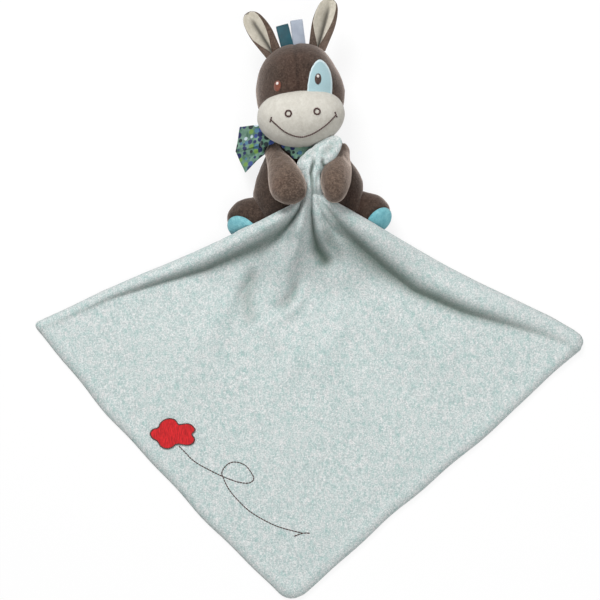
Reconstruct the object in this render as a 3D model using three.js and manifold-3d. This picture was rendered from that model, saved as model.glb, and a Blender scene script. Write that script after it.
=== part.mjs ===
import * as THREE from 'three';
import { mergeVertices } from 'three/addons/utils/BufferGeometryUtils.js';
import Module from 'manifold-3d';

// A comfort blanket lovey: a stuffed donkey lying on its back with a square blanket gathered in its paws.
// Lengths are in millimetres. +Z is up, the head is towards +Y, and the toy's own left is towards +X.
// The surface that it lies on is z = 0, and the origin is under the middle of its back.

// Cloth and clearances
const gap = 0.3;
const turningGap = 1.3;
const limbGap = 0.6;
const sweepGap = 1.4;
const pile = 1.8;
const backFlat = 0.5;
const overrun = 400;

// Torso
const torsoHalfWidth = 49;
const torsoHalfDepth = 23.5;
const torsoTop = 44;
const torsoBottom = -51;
const torsoNeckLean = -3;
const torsoNeckRise = 9;
const neckRadius = 17;
const neckPivot = [-4, 37, 25];
const headTip = 10;

// Head and muzzle
const headCentre = [-6.6, 77.2, 36];
const headRadii = [39, 40.5, 36.5];
const headRoll = 5;
const muzzleCentre = [-6.4, 50.3, 52];
const muzzleRadii = [38, 27.3, 27];
const crownFullness = 2.2;
const muzzleFullness = 2.1;
const muzzleLean = 0.42;
const muzzleSeam = 0.4;

// Face
const patchWidth = 21;
const patchHeight = 30;
const patchPlace = [10.8, 68];
const patchThickness = 1;
const eyeThickness = 1;
const eyeHalfWidth = 2.9;
const eyeHalfHeight = 4.4;
const rightEyePlace = [-25.6, 73.2];
const leftEyePlace = [8.4, 78.8];
const nostrilRadius = 2.9;
const nostrilHole = 1.9;
const rightNostrilPlace = [-16.7, 47.2];
const leftNostrilPlace = [7.2, 49.2];
const threadHeight = 0.8;
const smileWidth = 1.3;
const smileEnds = [[-31.5, 43], [23.5, 47.8]];
const smileDrop = 15.5;

// Ears and ribbons
const earThickness = 1.7;
const liningThickness = 1.2;
const liningInset = 1.8;
const earCup = 5;
const earHalfWidth = 11.5;
const rightEarBase = [-31.5, 109.5, 35];
const rightEarTip = [-53, 145, 40];
const leftEarBase = [7.5, 114, 35];
const leftEarTip = [20, 157.5, 40];
const earBend = 25;
const ribbonWidth = 11;
const ribbonThickness = 1;
const ribbonDepth = 8.6;
const ribbonPlaces = {
  teal_ribbon_loop: { base: [-18, 116, 36], lean: 14, rise: 19.5 },
  lilac_ribbon_loop: { base: [-6.6, 117.6, 36], lean: 7, rise: 22 },
};

// Scarf
const scarfThickness = 2.4;
const bandWidth = 12;
const bandMiddle = 34.5;
const bandTilt = 29;
const knotCentre = [-33, 31, 37];
const knotRadii = [8.5, 8, 7];
const knotFullness = 2.4;
const tailHinge = [-42, 28.2, 34];
const tailDrop = 21;
const tailThickness = 1.6;
const tailWave = 2;
const tailGap = 0.6;
const upperTailCorners = [[-59.5, 49], [-63, 28.6]];
const upperTailRoot = 43;
const lowerTailCorners = [[-63, 27.4], [-53.2, 11.6]];
const lowerTailRoot = 21.5;

// Arms and legs
const shoulderRadius = 10;
const pawHalfWidth = 15;
const pawHalfThickness = 13.5;
const armFace = [0, 3, 4];
const armSwing = 40;
const arms = {
  right: { shoulder: [-28.5, 22.5, 34], bend: [-22, 5.5, 50], paw: [-15.6, -10, 64.5], side: -1 },
  left: { shoulder: [31, 23.5, 34], bend: [26.5, 6, 50], paw: [21.6, -9, 64.5], side: 1 },
};
const hipRadius = 15;
const footRadius = 15.5;
const soleDepth = 9;
const soleCrown = 2;
const soleInset = 0.8;
const legSwing = 10;
const legs = {
  right: { hip: [-35, -22.5, 18.5], foot: [-55.5, -31, 18], facing: [-0.35, -0.6, 0.72], side: -1 },
  left: { hip: [36.5, -18, 18.5], foot: [57.5, -25.5, 18], facing: [0.45, -0.55, 0.71], side: 1 },
};

// Blanket
const blanketSide = 334;
const lowerCorner = [-9, -358];
const leftSideAngle = 134;
const rightSideAngle = 41.2;
const blanketLayer = 2.5;
const holdPlace = [3.5, -19];
const holdHeight = 47.3;
const holdRadius = 7;
const edgeReach = 165;
const middleReach = 112;
const pleatHeight = 6.5;
const pleatReach = 215;
const pleatStart = 22;
const pleatFade = 1.3;
const clothSpread = 1.35;
const edgeBow = 5;
const drapeMargin = 2.2;
const backStart = 30;
const flowerPlace = [-117.6, -216.5];
const flowerHalfWidth = 19;
const flowerHalfHeight = 13.5;
const flowerThickness = 1;
const tuftPath = [[3.5, -25, 49.5], [3.5, -12, 51.5], [3.5, 2, 53], [7.5, 15, 54.5], [16, 27, 56]];
const tuftFace = [-1, 0, 3];
const tuftHalfWidth = 19.5;
const tuftHalfThickness = 4.5;

// Shares of the sizes above, in the order that each note gives
// torso: height from bottom to top, half width, half depth
const torsoShares = [
  [0, 0, 0], [0.03, 0.34, 0.36], [0.08, 0.6, 0.6], [0.16, 0.85, 0.84], [0.27, 0.97, 0.97], [0.4, 1, 1],
  [0.53, 0.96, 1], [0.66, 0.86, 0.97], [0.78, 0.75, 0.86], [0.87, 0.62, 0.7], [0.94, 0.44, 0.52],
  [0.985, 0.22, 0.26], [1, 0, 0],
];
// torso: where it is widest, and where it begins to rise towards the neck
const waistShare = 0.4;
const chestShare = 0.66;
// limbs: distance along the centre line, half width
const armShares = [[0, 0.6], [0.3, 0.78], [0.6, 0.93], [0.85, 1], [1, 0.97]];
const legShares = [[0, 0.86], [0.35, 0.87], [0.7, 0.95], [1, 1]];
const tuftWidthShares = [[0, 0.33], [0.25, 0.33], [0.5, 0.62], [0.75, 1], [1, 0.52]];
const tuftThicknessShares = [[0, 0.7], [0.25, 1], [0.5, 0.95], [0.75, 0.85], [1, 0.8]];
// ear: distance from base to tip, half width
const earShares = [[0, 0.55], [0.2, 0.78], [0.45, 1], [0.65, 0.98], [0.82, 0.76], [0.94, 0.42], [1, 0.12]];
// ribbon: how wide the loop is where it is caught in the seam
const ribbonRootShare = 0.75;
// petals: how far they stand out of the flower's round
const petalShare = 0.16;
// torso: the least depth that its back is held down by, so that the neck and seat stay off the surface
const lieShare = 0.84;
// muzzle: how much narrower it is at the chin
const chinShare = 0.08;
// folds round the hold: share of the way from the left edge to the right edge, height of the fold there
const foldShares = [[0, 1], [0.13, -1], [0.32, 0.9], [0.553, -1], [0.69, 0.8], [0.83, -1], [1, 1]];

// How finely the forms are divided
const fine = { around: 18, rows: 10 };
const middle = { around: 12, rows: 8 };
const coarse = { around: 10, rows: 6 };
const jointDetail = { around: 12, rows: 6 };
const mouthDetail = { around: 8, rows: 4 };
const earGridCounts = { along: 9, across: 6 };
const tailGridCounts = { along: 6, across: 5 };
const clothGridCounts = { along: 13, across: 28 };
const archCount = 10;
const bowCount = 14;
const loopCount = 8;
const ovalCount = 14;
const petalCount = 5;
const petalPoints = 8;
const soleDetail = { around: 16, rows: 8 };

const wasm = await Module();
wasm.setup();

const point = (place) => new THREE.Vector3(...place);
const radians = THREE.MathUtils.degToRad;
const acrossAxis = new THREE.Vector3(1, 0, 0);
const upAxis = new THREE.Vector3(0, 0, 1);
const colours = {
  velour: 0x6b5850, cream: 0xded8cb, patch: 0xa5d0dc, thread: 0x3c2823, rust: 0x78371e, sole: 0x6ebecd,
  teal: 0x327887, lilac: 0xc3bed2, print: 0x8caf8c, fleece: 0xc9dfdb, felt: 0xcd232d, fibre: 0xf2f0ea,
};

// Reads a table of shares at one place, with straight runs between its rows
function shareAt(shares, along, column = 1) {
  const next = Math.max(1, shares.findIndex((row) => row[0] >= along));
  const [low, high] = [shares[next - 1], shares[next]];
  const part = THREE.MathUtils.clamp((along - low[0]) / (high[0] - low[0]), 0, 1);
  return THREE.MathUtils.lerp(low[column], high[column], part);
}

// The same with level tops and bottoms, for folds
function foldAt(across) {
  const next = Math.max(1, foldShares.findIndex((row) => row[0] >= across));
  const [low, high] = [foldShares[next - 1], foldShares[next]];
  const part = THREE.MathUtils.smoothstep(across, low[0], high[0]);
  return THREE.MathUtils.lerp(low[1], high[1], part);
}

// Makes one closed surface from rings of points; a ring of one point is a pole
function closedForm(rings) {
  const points = rings.flat();
  const starts = [];
  rings.reduce((count, ring) => { starts.push(count); return count + ring.length; }, 0);
  const faces = [];
  for (let k = 0; k + 1 < rings.length; k += 1) {
    const [a, b] = [rings[k].length, rings[k + 1].length];
    const count = Math.max(a, b);
    for (let i = 0; i < count; i += 1) {
      const j = (i + 1) % count;
      const low = [starts[k] + (i % a), starts[k] + (j % a)];
      const high = [starts[k + 1] + (i % b), starts[k + 1] + (j % b)];
      if (a > 1) faces.push([low[0], low[1], high[0]]);
      if (b > 1) faces.push([low[1], high[1], high[0]]);
    }
  }
  return facingOut(points, faces);
}

function facingOut(points, faces) {
  const volume = faces.reduce((sum, [a, b, c]) => {
    const normal = new THREE.Vector3().crossVectors(points[b], points[c]);
    return sum + points[a].dot(normal);
  }, 0);
  const index = volume < 0 ? faces.map(([a, b, c]) => [a, c, b]) : faces;
  const geometry = new THREE.BufferGeometry().setFromPoints(points);
  geometry.setIndex(index.flat());
  return geometry;
}

// Moves the surface of a form outwards, or inwards where the distance is negative
function grown(form, distance) {
  const result = form.clone();
  result.computeVertexNormals();
  const { position, normal } = result.attributes;
  for (let i = 0; i < position.count; i += 1) {
    const place = new THREE.Vector3().fromBufferAttribute(position, i);
    place.addScaledVector(new THREE.Vector3().fromBufferAttribute(normal, i), distance);
    position.setXYZ(i, ...place);
  }
  return result;
}

function solidOf(geometry) {
  const bare = geometry.clone();
  bare.deleteAttribute('normal');
  bare.deleteAttribute('uv');
  const merged = mergeVertices(bare);
  const vertProperties = new Float32Array(merged.attributes.position.array);
  const triVerts = new Uint32Array(merged.index.array);
  return new wasm.Manifold(new wasm.Mesh({ numProp: 3, vertProperties, triVerts }));
}

function solidFrom(forms, growth = 0) {
  return forms.map((form) => solidOf(grown(form, growth))).reduce((all, one) => all.add(one));
}

// The one body of a cut solid, without the crumbs that a grazing cut can leave
function mainBody(solid) {
  return solid.decompose().reduce((best, one) => (one.volume() > best.volume() ? one : best));
}

function geometryOf(solid) {
  const { vertProperties, triVerts } = solid.getMesh();
  const geometry = new THREE.BufferGeometry();
  geometry.setAttribute('position', new THREE.BufferAttribute(vertProperties, 3));
  geometry.setIndex(new THREE.BufferAttribute(triVerts, 1));
  geometry.computeVertexNormals();
  return geometry;
}

function turnedForm(form, pivot, axis, degrees) {
  const turn = new THREE.Matrix4().makeRotationAxis(axis.clone().normalize(), radians(degrees));
  const there = new THREE.Matrix4().makeTranslation(...pivot);
  const back = new THREE.Matrix4().makeTranslation(...pivot.map((value) => -value));
  return form.clone().applyMatrix4(there.multiply(turn).multiply(back));
}

// The space that the forms pass through as they turn from rest to the given angle
function sweptSolid(forms, growth, pivot, axis, degrees, steps = 2) {
  let sweep = solidFrom(forms, growth);
  for (let step = 1; step <= steps; step += 1) {
    const turned = forms.map((form) => turnedForm(form, pivot, axis, (degrees * step) / steps));
    sweep = sweep.add(solidFrom(turned, growth));
  }
  return sweep;
}

function power(value, exponent) {
  return Math.sign(value) * Math.abs(value) ** exponent;
}

// A ball-like form with poles along Y: a fullness above 2 makes it squarer, a taper narrows its lower half
function roundForm({ centre, radii, fullness = 2, lean = 0, taper = 0, detail = fine }) {
  const rings = [];
  for (let row = 0; row <= detail.rows; row += 1) {
    const tilt = Math.PI * (row / detail.rows - 0.5);
    const pole = row === 0 || row === detail.rows;
    const narrowing = 1 - taper * Math.max(0, -Math.sin(tilt));
    const width = pole ? 0 : narrowing * power(Math.cos(tilt), 2 / fullness);
    const ring = [];
    for (let i = 0; i < (pole ? 1 : detail.around); i += 1) {
      const turn = (2 * Math.PI * i) / detail.around;
      const x = radii[0] * width * power(Math.cos(turn), 2 / fullness);
      const z = radii[2] * width * power(Math.sin(turn), 2 / fullness);
      const y = radii[1] * power(Math.sin(tilt), 2 / fullness) + lean * Math.max(0, -z);
      ring.push(new THREE.Vector3(x, y, z).add(point(centre)));
    }
    rings.push(ring);
  }
  return closedForm(rings);
}

// A stuffed tube with round ends along a centre line, wider or narrower as its shares say
function limbForm({ path, halfWidth, widthShares, halfThickness, thicknessShares, face, detail = fine }) {
  const curve = new THREE.CatmullRomCurve3(path.map(point));
  const capRows = Math.max(2, Math.round(detail.rows / 4));
  const bodyRows = detail.rows - 2 * capRows;
  const stations = [];
  for (let row = 0; row < capRows; row += 1) stations.push([0, (Math.PI / 2) * (1 - row / capRows)]);
  for (let row = 0; row <= bodyRows; row += 1) stations.push([row / bodyRows, 0]);
  for (let row = 1; row <= capRows; row += 1) stations.push([1, (Math.PI / 2) * (row / capRows)]);
  const rings = stations.map(([along, tilt]) => {
    const heading = curve.getTangentAt(along);
    const across = new THREE.Vector3().crossVectors(heading, point(face)).normalize();
    const outward = new THREE.Vector3().crossVectors(across, heading).normalize();
    const wide = halfWidth * shareAt(widthShares, along);
    const thick = halfThickness * shareAt(thicknessShares, along);
    const past = Math.min(wide, thick) * Math.sin(tilt) * (along < 0.5 ? -1 : 1);
    const centre = curve.getPointAt(along).addScaledVector(heading, past);
    if (tilt > Math.PI / 2 - 1e-6) return [centre];
    return Array.from({ length: detail.around }, (_, i) => {
      const turn = (2 * Math.PI * i) / detail.around;
      return centre.clone()
        .addScaledVector(across, wide * Math.cos(tilt) * Math.cos(turn))
        .addScaledVector(outward, thick * Math.cos(tilt) * Math.sin(turn));
    });
  });
  return closedForm(rings);
}

// Normals of a grid of points, from the runs along and across it
function gridNormals(grid) {
  return grid.map((row, j) => row.map((_, i) => {
    const along = new THREE.Vector3()
      .subVectors(grid[Math.min(j + 1, grid.length - 1)][i], grid[Math.max(j - 1, 0)][i]);
    const across = new THREE.Vector3()
      .subVectors(row[Math.min(i + 1, row.length - 1)], row[Math.max(i - 1, 0)]);
    const normal = new THREE.Vector3().crossVectors(across, along).normalize();
    return normal.z < 0 ? normal.negate() : normal;
  }));
}

// A sheet that follows a grid of points, from one height above it to another
function sheetForm(grid, low, high, floor = -overrun) {
  const normals = gridNormals(grid);
  const layer = (height) => grid.map((row, j) => row.map((place, i) => {
    const moved = place.clone().addScaledVector(normals[j][i], height);
    return moved.setZ(Math.max(moved.z, floor));
  }));
  const [rows, columns] = [grid.length, grid[0].length];
  const points = [...layer(high).flat(), ...layer(low).flat()];
  const top = (j, i) => j * columns + i;
  const bottom = (j, i) => rows * columns + top(j, i);
  const faces = [];
  const quad = (a, b, c, d) => faces.push([a, b, c], [a, c, d]);
  for (let j = 0; j + 1 < rows; j += 1) {
    for (let i = 0; i + 1 < columns; i += 1) {
      quad(top(j, i), top(j, i + 1), top(j + 1, i + 1), top(j + 1, i));
      quad(bottom(j, i), bottom(j + 1, i), bottom(j + 1, i + 1), bottom(j, i + 1));
    }
    quad(top(j, 0), top(j + 1, 0), bottom(j + 1, 0), bottom(j, 0));
    quad(top(j + 1, columns - 1), top(j, columns - 1), bottom(j, columns - 1), bottom(j + 1, columns - 1));
  }
  for (let i = 0; i + 1 < columns; i += 1) {
    quad(top(0, i + 1), top(0, i), bottom(0, i), bottom(0, i + 1));
    quad(top(rows - 1, i), top(rows - 1, i + 1), bottom(rows - 1, i + 1), bottom(rows - 1, i));
  }
  return facingOut(points, faces);
}

// A post of the given outline that stands on the surface and runs up through everything
function postOf(outline, holes = []) {
  const shape = new THREE.Shape(outline.map(([x, y]) => new THREE.Vector2(x, y)));
  shape.holes = holes.map((hole) => new THREE.Path(hole.map(([x, y]) => new THREE.Vector2(x, y))));
  return solidOf(new THREE.ExtrudeGeometry(shape, { depth: overrun, bevelEnabled: false }));
}

function oval(centre, halfWidth, halfHeight, turn = 0) {
  const middle = new THREE.Vector2(...centre);
  return Array.from({ length: ovalCount }, (_, i) => {
    const angle = (2 * Math.PI * i) / ovalCount;
    const reach = new THREE.Vector2(halfWidth * Math.cos(angle), halfHeight * Math.sin(angle));
    return reach.add(middle).rotateAround(middle, radians(turn)).toArray();
  });
}

// Everything below the surface that the toy lies on, and everything on one side of a plane
function blockBelow() {
  const block = new THREE.BoxGeometry(2 * overrun, 2 * overrun, overrun);
  return solidOf(block.translate(0, 0, -overrun / 2));
}

function blockBeyond(place, facing) {
  const block = new THREE.BoxGeometry(overrun, overrun, overrun).translate(0, 0, overrun / 2);
  const turn = new THREE.Quaternion().setFromUnitVectors(upAxis, point(facing).normalize());
  return solidOf(block.applyQuaternion(turn).translate(...place));
}

const ground = blockBelow();

// Torso: a pear-shaped form whose back lies flat, with a round neck end
function torsoForms(detail) {
  const centreX = (along) => torsoNeckLean * THREE.MathUtils.smoothstep(along, waistShare, 1);
  const rings = torsoShares.map(([along, width, depth]) => {
    const y = THREE.MathUtils.lerp(torsoBottom, torsoTop, along);
    const rise = torsoNeckRise * THREE.MathUtils.smoothstep(along, chestShare, 1);
    const lie = torsoHalfDepth * (1 + Math.max(depth, lieShare)) / 2;
    const centre = new THREE.Vector3(centreX(along), y, lie - backFlat + rise);
    if (width === 0) return [centre];
    return Array.from({ length: detail.around }, (_, i) => {
      const turn = (2 * Math.PI * i) / detail.around;
      const x = torsoHalfWidth * width * Math.cos(turn);
      const z = torsoHalfDepth * depth * Math.sin(turn);
      return centre.clone().add(new THREE.Vector3(x, 0, z));
    });
  });
  return [closedForm(rings), ballForm(neckPivot, neckRadius)];
}

function ballForm(centre, radius, detail = jointDetail) {
  return roundForm({ centre, radii: [radius, radius, radius], detail });
}

function jointSockets(growth) {
  const shoulders = Object.values(arms).map((arm) => ballForm(arm.shoulder, shoulderRadius));
  const hips = Object.values(legs).map((leg) => ballForm(leg.hip, hipRadius));
  return solidFrom([...shoulders, ...hips], growth);
}

function torsoPieces() {
  const outer = solidFrom(torsoForms(fine)).subtract(ground);
  const skin = outer.subtract(solidFrom(torsoForms(coarse), -pile)).subtract(jointSockets(turningGap));
  const filling = solidFrom(torsoForms(coarse), -pile - gap).subtract(jointSockets(turningGap));
  return { torso_skin: [skin, 'velour'], torso_filling: [filling, 'fibre'] };
}

// Scarf band: a strip that follows the torso just below the neck, lower at the front than at the back
function bandSolid(growth = 0) {
  const shell = solidFrom(torsoForms(fine), gap + scarfThickness + growth)
    .subtract(solidFrom(torsoForms(fine), gap - growth));
  const strip = new THREE.BoxGeometry(overrun, bandWidth + 2 * growth, overrun);
  strip.rotateX(radians(bandTilt)).translate(0, bandMiddle, neckPivot[2]);
  return shell.intersect(solidOf(strip));
}

// Head: the crown and the leaning muzzle, as forms that can be grown or drawn in
function headForms(detail) {
  const crown = roundForm({ centre: headCentre, radii: headRadii, fullness: crownFullness, detail });
  const muzzle = roundForm({
    centre: muzzleCentre,
    radii: muzzleRadii,
    fullness: muzzleFullness,
    lean: muzzleLean,
    taper: chinShare,
    detail,
  });
  return { crown, muzzle: turnedForm(muzzle, muzzleCentre, upAxis, headRoll) };
}

// What the head has to stay clear of as it tips back
function headClearance() {
  const torso = sweptSolid([torsoForms(fine)[0]], gap, neckPivot, acrossAxis, headTip);
  const band = [0, headTip / 2, headTip].map((degrees) => (
    solidOf(turnedForm(geometryOf(bandSolid(gap)), neckPivot, acrossAxis, degrees))
  ));
  const shoulders = solidFrom(Object.values(arms).map((arm) => ballForm(arm.shoulder, shoulderRadius)), gap);
  return [...band, shoulders].reduce((all, one) => all.add(one), torso);
}

function headPieces() {
  const outer = headForms(fine);
  const inner = headForms(coarse);
  const socket = solidFrom([ballForm(neckPivot, neckRadius)], turningGap);
  const clearance = headClearance().add(socket).add(ground);
  const muzzleOuter = solidFrom([outer.muzzle]);
  const skin = solidFrom([outer.crown])
    .subtract(solidFrom([inner.crown], -pile))
    .subtract(solidFrom([outer.muzzle], gap))
    .subtract(clearance);
  const shell = muzzleOuter
    .subtract(solidFrom([inner.muzzle], -pile))
    .subtract(solidFrom([outer.crown], gap))
    .subtract(clearance);
  const seam = new THREE.BoxGeometry(muzzleSeam, overrun, overrun);
  seam.rotateZ(radians(headRoll)).translate(...muzzleCentre);
  const leftSide = blockBeyond(muzzleCentre, [Math.cos(radians(headRoll)), Math.sin(radians(headRoll)), 0]);
  const halves = shell.subtract(solidOf(seam));
  const filling = solidFrom([inner.crown, inner.muzzle], -pile - gap).subtract(clearance);
  return {
    head_skin: [skin, 'velour'],
    muzzle_left_panel: [halves.intersect(leftSide), 'cream'],
    muzzle_right_panel: [halves.subtract(leftSide), 'cream'],
    head_filling: [filling, 'fibre'],
  };
}

// A thin piece sewn on the front of the head, with its outline drawn in the plane of the surface
function sewnOn(post, forms, lift, thickness) {
  const layer = solidFrom(forms, lift + thickness).subtract(solidFrom(forms, lift));
  return layer.intersect(post).intersect(blockBeyond(muzzleCentre, [0, 0, 1]));
}

function facePieces() {
  const { crown, muzzle } = headForms(fine);
  const muzzleEdge = solidFrom([muzzle], gap);
  const half = patchWidth / 2;
  const side = patchHeight - half;
  const arch = [[-half, -half], [half, -half]];
  for (let i = 0; i <= archCount; i += 1) {
    const angle = (Math.PI * i) / archCount;
    arch.push([half * Math.cos(angle), side - half + half * Math.sin(angle)]);
  }
  const patchOutline = arch.map(([x, y]) => [patchPlace[0] + x, patchPlace[1] + half / 2 + y]);
  const patch = sewnOn(postOf(patchOutline), [crown], gap, patchThickness).subtract(muzzleEdge);
  const eye = (place, lift) => {
    const outline = oval(place, eyeHalfWidth, eyeHalfHeight, headRoll);
    return sewnOn(postOf(outline), [crown], lift, eyeThickness).subtract(muzzleEdge);
  };
  const nostril = (place) => {
    const post = postOf(oval(place, nostrilRadius, nostrilRadius), [oval(place, nostrilHole, nostrilHole)]);
    return sewnOn(post, [muzzle], gap, threadHeight);
  };
  return {
    eye_patch: [patch, 'patch'],
    right_eye: [eye(rightEyePlace, gap), 'rust'],
    left_eye: [eye(leftEyePlace, gap + patchThickness + gap), 'thread'],
    right_nostril: [nostril(rightNostrilPlace), 'thread'],
    left_nostril: [nostril(leftNostrilPlace), 'thread'],
    smile: [sewnOn(postOf(smileOutline()), [muzzle], gap, threadHeight), 'thread'],
  };
}

// The smile is a bow between two cheeks, the same width all along
function smileOutline() {
  const [from, to] = smileEnds.map(([x, y]) => new THREE.Vector2(x, y));
  const middle = from.clone().lerp(to, 0.5);
  const down = new THREE.Vector2(to.y - from.y, from.x - to.x).normalize();
  const bow = new THREE.QuadraticBezierCurve(from, middle.addScaledVector(down, 2 * smileDrop), to);
  const edge = (offset) => Array.from({ length: bowCount + 1 }, (_, i) => {
    const heading = bow.getTangent(i / bowCount);
    return bow.getPoint(i / bowCount).add(new THREE.Vector2(-heading.y, heading.x).multiplyScalar(offset));
  });
  return [...edge(smileWidth / 2), ...edge(-smileWidth / 2).reverse()].map(({ x, y }) => [x, y]);
}

// An ear is a cupped leaf; the brown back and the cream front follow the same grid
function earGrid(base, tip, inset = 0) {
  const [from, to] = [point(base), point(tip)];
  const heading = new THREE.Vector3().subVectors(to, from);
  const across = new THREE.Vector3(heading.y, -heading.x, 0).normalize();
  const front = new THREE.Vector3().crossVectors(across, heading).normalize();
  const start = inset / heading.length();
  const counts = earGridCounts;
  return Array.from({ length: counts.along + 1 }, (_, j) => {
    const along = THREE.MathUtils.lerp(start, 1 - start, j / counts.along);
    const whole = earHalfWidth * shareAt(earShares, along);
    const half = Math.max(whole - inset, whole * earShares.at(-1)[1]);
    return Array.from({ length: counts.across + 1 }, (_unused, i) => {
      const side = half * (2 * i / counts.across - 1);
      const cup = earCup * side ** 2 / (whole * earHalfWidth);
      return from.clone().addScaledVector(heading, along)
        .addScaledVector(across, side).addScaledVector(front, cup);
    });
  });
}

function earPieces(side, base, tip) {
  const heading = new THREE.Vector3().subVectors(point(tip), point(base));
  const axis = new THREE.Vector3(heading.y, -heading.x, 0).normalize();
  const crown = headForms(fine).crown;
  const clear = [-earBend, earBend]
    .map((degrees) => sweptSolid([crown], gap, base, axis, degrees))
    .reduce((all, one) => all.add(one));
  const outer = sheetForm(earGrid(base, tip), -earThickness, 0);
  const lining = sheetForm(earGrid(base, tip, liningInset), gap, gap + liningThickness);
  return {
    [`${side}_ear_outer`]: [solidOf(outer).subtract(clear), 'velour'],
    [`${side}_ear_lining`]: [solidOf(lining).subtract(clear), 'cream'],
  };
}

// A ribbon loop: a flat tape bent back on itself, its two ends caught in the head seam
function ribbonPiece({ base, lean, rise }) {
  const half = ribbonDepth / 2;
  const outline = (inset) => {
    const shape = [];
    const straight = rise - half;
    for (let i = 0; i <= loopCount; i += 1) {
      const angle = (Math.PI * i) / loopCount;
      shape.push([(half - inset) * Math.cos(angle), straight + (half - inset) * Math.sin(angle)]);
    }
    const root = half * ribbonRootShare - inset;
    shape.push([-root, inset - half], [root, inset - half]);
    return shape.map(([z, y]) => new THREE.Vector2(z, y));
  };
  const tape = new THREE.Shape(outline(0));
  tape.holes.push(new THREE.Path(outline(ribbonThickness)));
  const loop = new THREE.ExtrudeGeometry(tape, { depth: ribbonWidth, bevelEnabled: false });
  loop.translate(0, 0, -ribbonWidth / 2).rotateY(Math.PI / 2).rotateZ(radians(lean)).translate(...base);
  return solidOf(loop).subtract(solidFrom([headForms(fine).crown], gap));
}

function ribbonPieces() {
  const pieces = {};
  Object.entries(ribbonPlaces).forEach(([name, place]) => {
    pieces[name] = [ribbonPiece(place), name.startsWith('teal') ? 'teal' : 'lilac'];
  });
  return pieces;
}

// Arms: the shoulder end turns in the torso, and the paw lies on the gathered blanket
function armForm(arm, detail) {
  return limbForm({
    path: [arm.shoulder, arm.bend, arm.paw], halfWidth: pawHalfWidth, widthShares: armShares,
    halfThickness: pawHalfThickness, thicknessShares: armShares, face: armFace, detail,
  });
}

function armSolid(arm, detail, growth, torsoGap) {
  return solidFrom([armForm(arm, detail)], growth)
    .subtract(solidFrom([torsoForms(fine)[0]], torsoGap))
    .add(solidFrom([ballForm(arm.shoulder, shoulderRadius)], growth));
}

// The space that an arm passes through as it swings outwards
function armSweep(arm) {
  const forms = [armForm(arm, coarse), ballForm(arm.shoulder, shoulderRadius)];
  return sweptSolid(forms, sweepGap, arm.shoulder, upAxis, arm.side * armSwing);
}

function armPieces(side, arm) {
  const head = solidFrom(Object.values(headForms(fine)), gap);
  const rootHeading = new THREE.Vector3().subVectors(point(arm.shoulder), point(arm.bend)).normalize();
  const mouthPlace = point(arm.shoulder).addScaledVector(rootHeading, shoulderRadius);
  const mouth = solidOf(ballForm(mouthPlace.toArray(), shoulderRadius / 2, mouthDetail));
  const hollow = armSolid(arm, coarse, -pile, limbGap + pile);
  const skin = armSolid(arm, middle, 0, limbGap).subtract(hollow).subtract(mouth).subtract(head);
  const filling = armSolid(arm, coarse, -pile - gap, limbGap + pile + gap);
  return { [`${side}_arm_skin`]: [skin, 'velour'], [`${side}_arm_filling`]: [filling, 'fibre'] };
}

// Legs: short, with a round foot that the sole cuts flat
function legForm(leg, detail) {
  const middle = point(leg.hip).lerp(point(leg.foot), 0.5).toArray();
  return limbForm({
    path: [leg.hip, middle, leg.foot], halfWidth: footRadius, widthShares: legShares,
    halfThickness: footRadius, thicknessShares: legShares, face: [0, 0, 1], detail,
  });
}

function legSolid(leg, detail, growth, torsoGap) {
  const solePlace = point(leg.foot).addScaledVector(point(leg.facing).normalize(), soleDepth + growth);
  return solidFrom([legForm(leg, detail)], growth)
    .subtract(sweptSolid([torsoForms(fine)[0]], torsoGap, leg.hip, upAxis, -leg.side * legSwing))
    .add(solidFrom([ballForm(leg.hip, hipRadius)], growth))
    .subtract(blockBeyond(solePlace.toArray(), leg.facing));
}

function legPieces(side, leg) {
  const rootHeading = new THREE.Vector3().subVectors(point(leg.hip), point(leg.foot)).normalize();
  const mouthPlace = point(leg.hip).addScaledVector(rootHeading, hipRadius);
  const mouth = solidOf(ballForm(mouthPlace.toArray(), hipRadius / 2, mouthDetail));
  const hollow = legSolid(leg, coarse, -pile, gap + pile);
  const skin = legSolid(leg, middle, 0, gap).subtract(hollow).subtract(mouth);
  const filling = legSolid(leg, coarse, -pile - gap, gap + pile + gap);
  return { [`${side}_leg_skin`]: [skin, 'velour'], [`${side}_leg_filling`]: [filling, 'fibre'] };
}

function solePiece(leg) {
  const facing = point(leg.facing).normalize();
  const place = point(leg.foot).addScaledVector(facing, soleDepth + gap);
  const radius = Math.sqrt(footRadius ** 2 - soleDepth ** 2) - soleInset;
  const dome = new THREE.SphereGeometry(radius, soleDetail.around, soleDetail.rows);
  dome.scale(1, 1, soleCrown / radius);
  const turn = new THREE.Quaternion().setFromUnitVectors(upAxis, facing);
  dome.applyQuaternion(turn).translate(...place);
  return solidOf(dome).intersect(blockBeyond(place.toArray(), leg.facing));
}

// Scarf band, knot and tails
function bandPiece() {
  return Object.values(arms).reduce((band, arm) => band.subtract(armSweep(arm)), bandSolid());
}

function knotForm() {
  return roundForm({ centre: knotCentre, radii: knotRadii, fullness: knotFullness, detail: coarse });
}

function knotPiece() {
  return solidFrom([knotForm()])
    .subtract(solidFrom([torsoForms(fine)[0]], gap))
    .subtract(bandSolid(gap))
    .subtract(armSweep(arms.right))
    .subtract(solidFrom(Object.values(headForms(fine)), gap));
}

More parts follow.
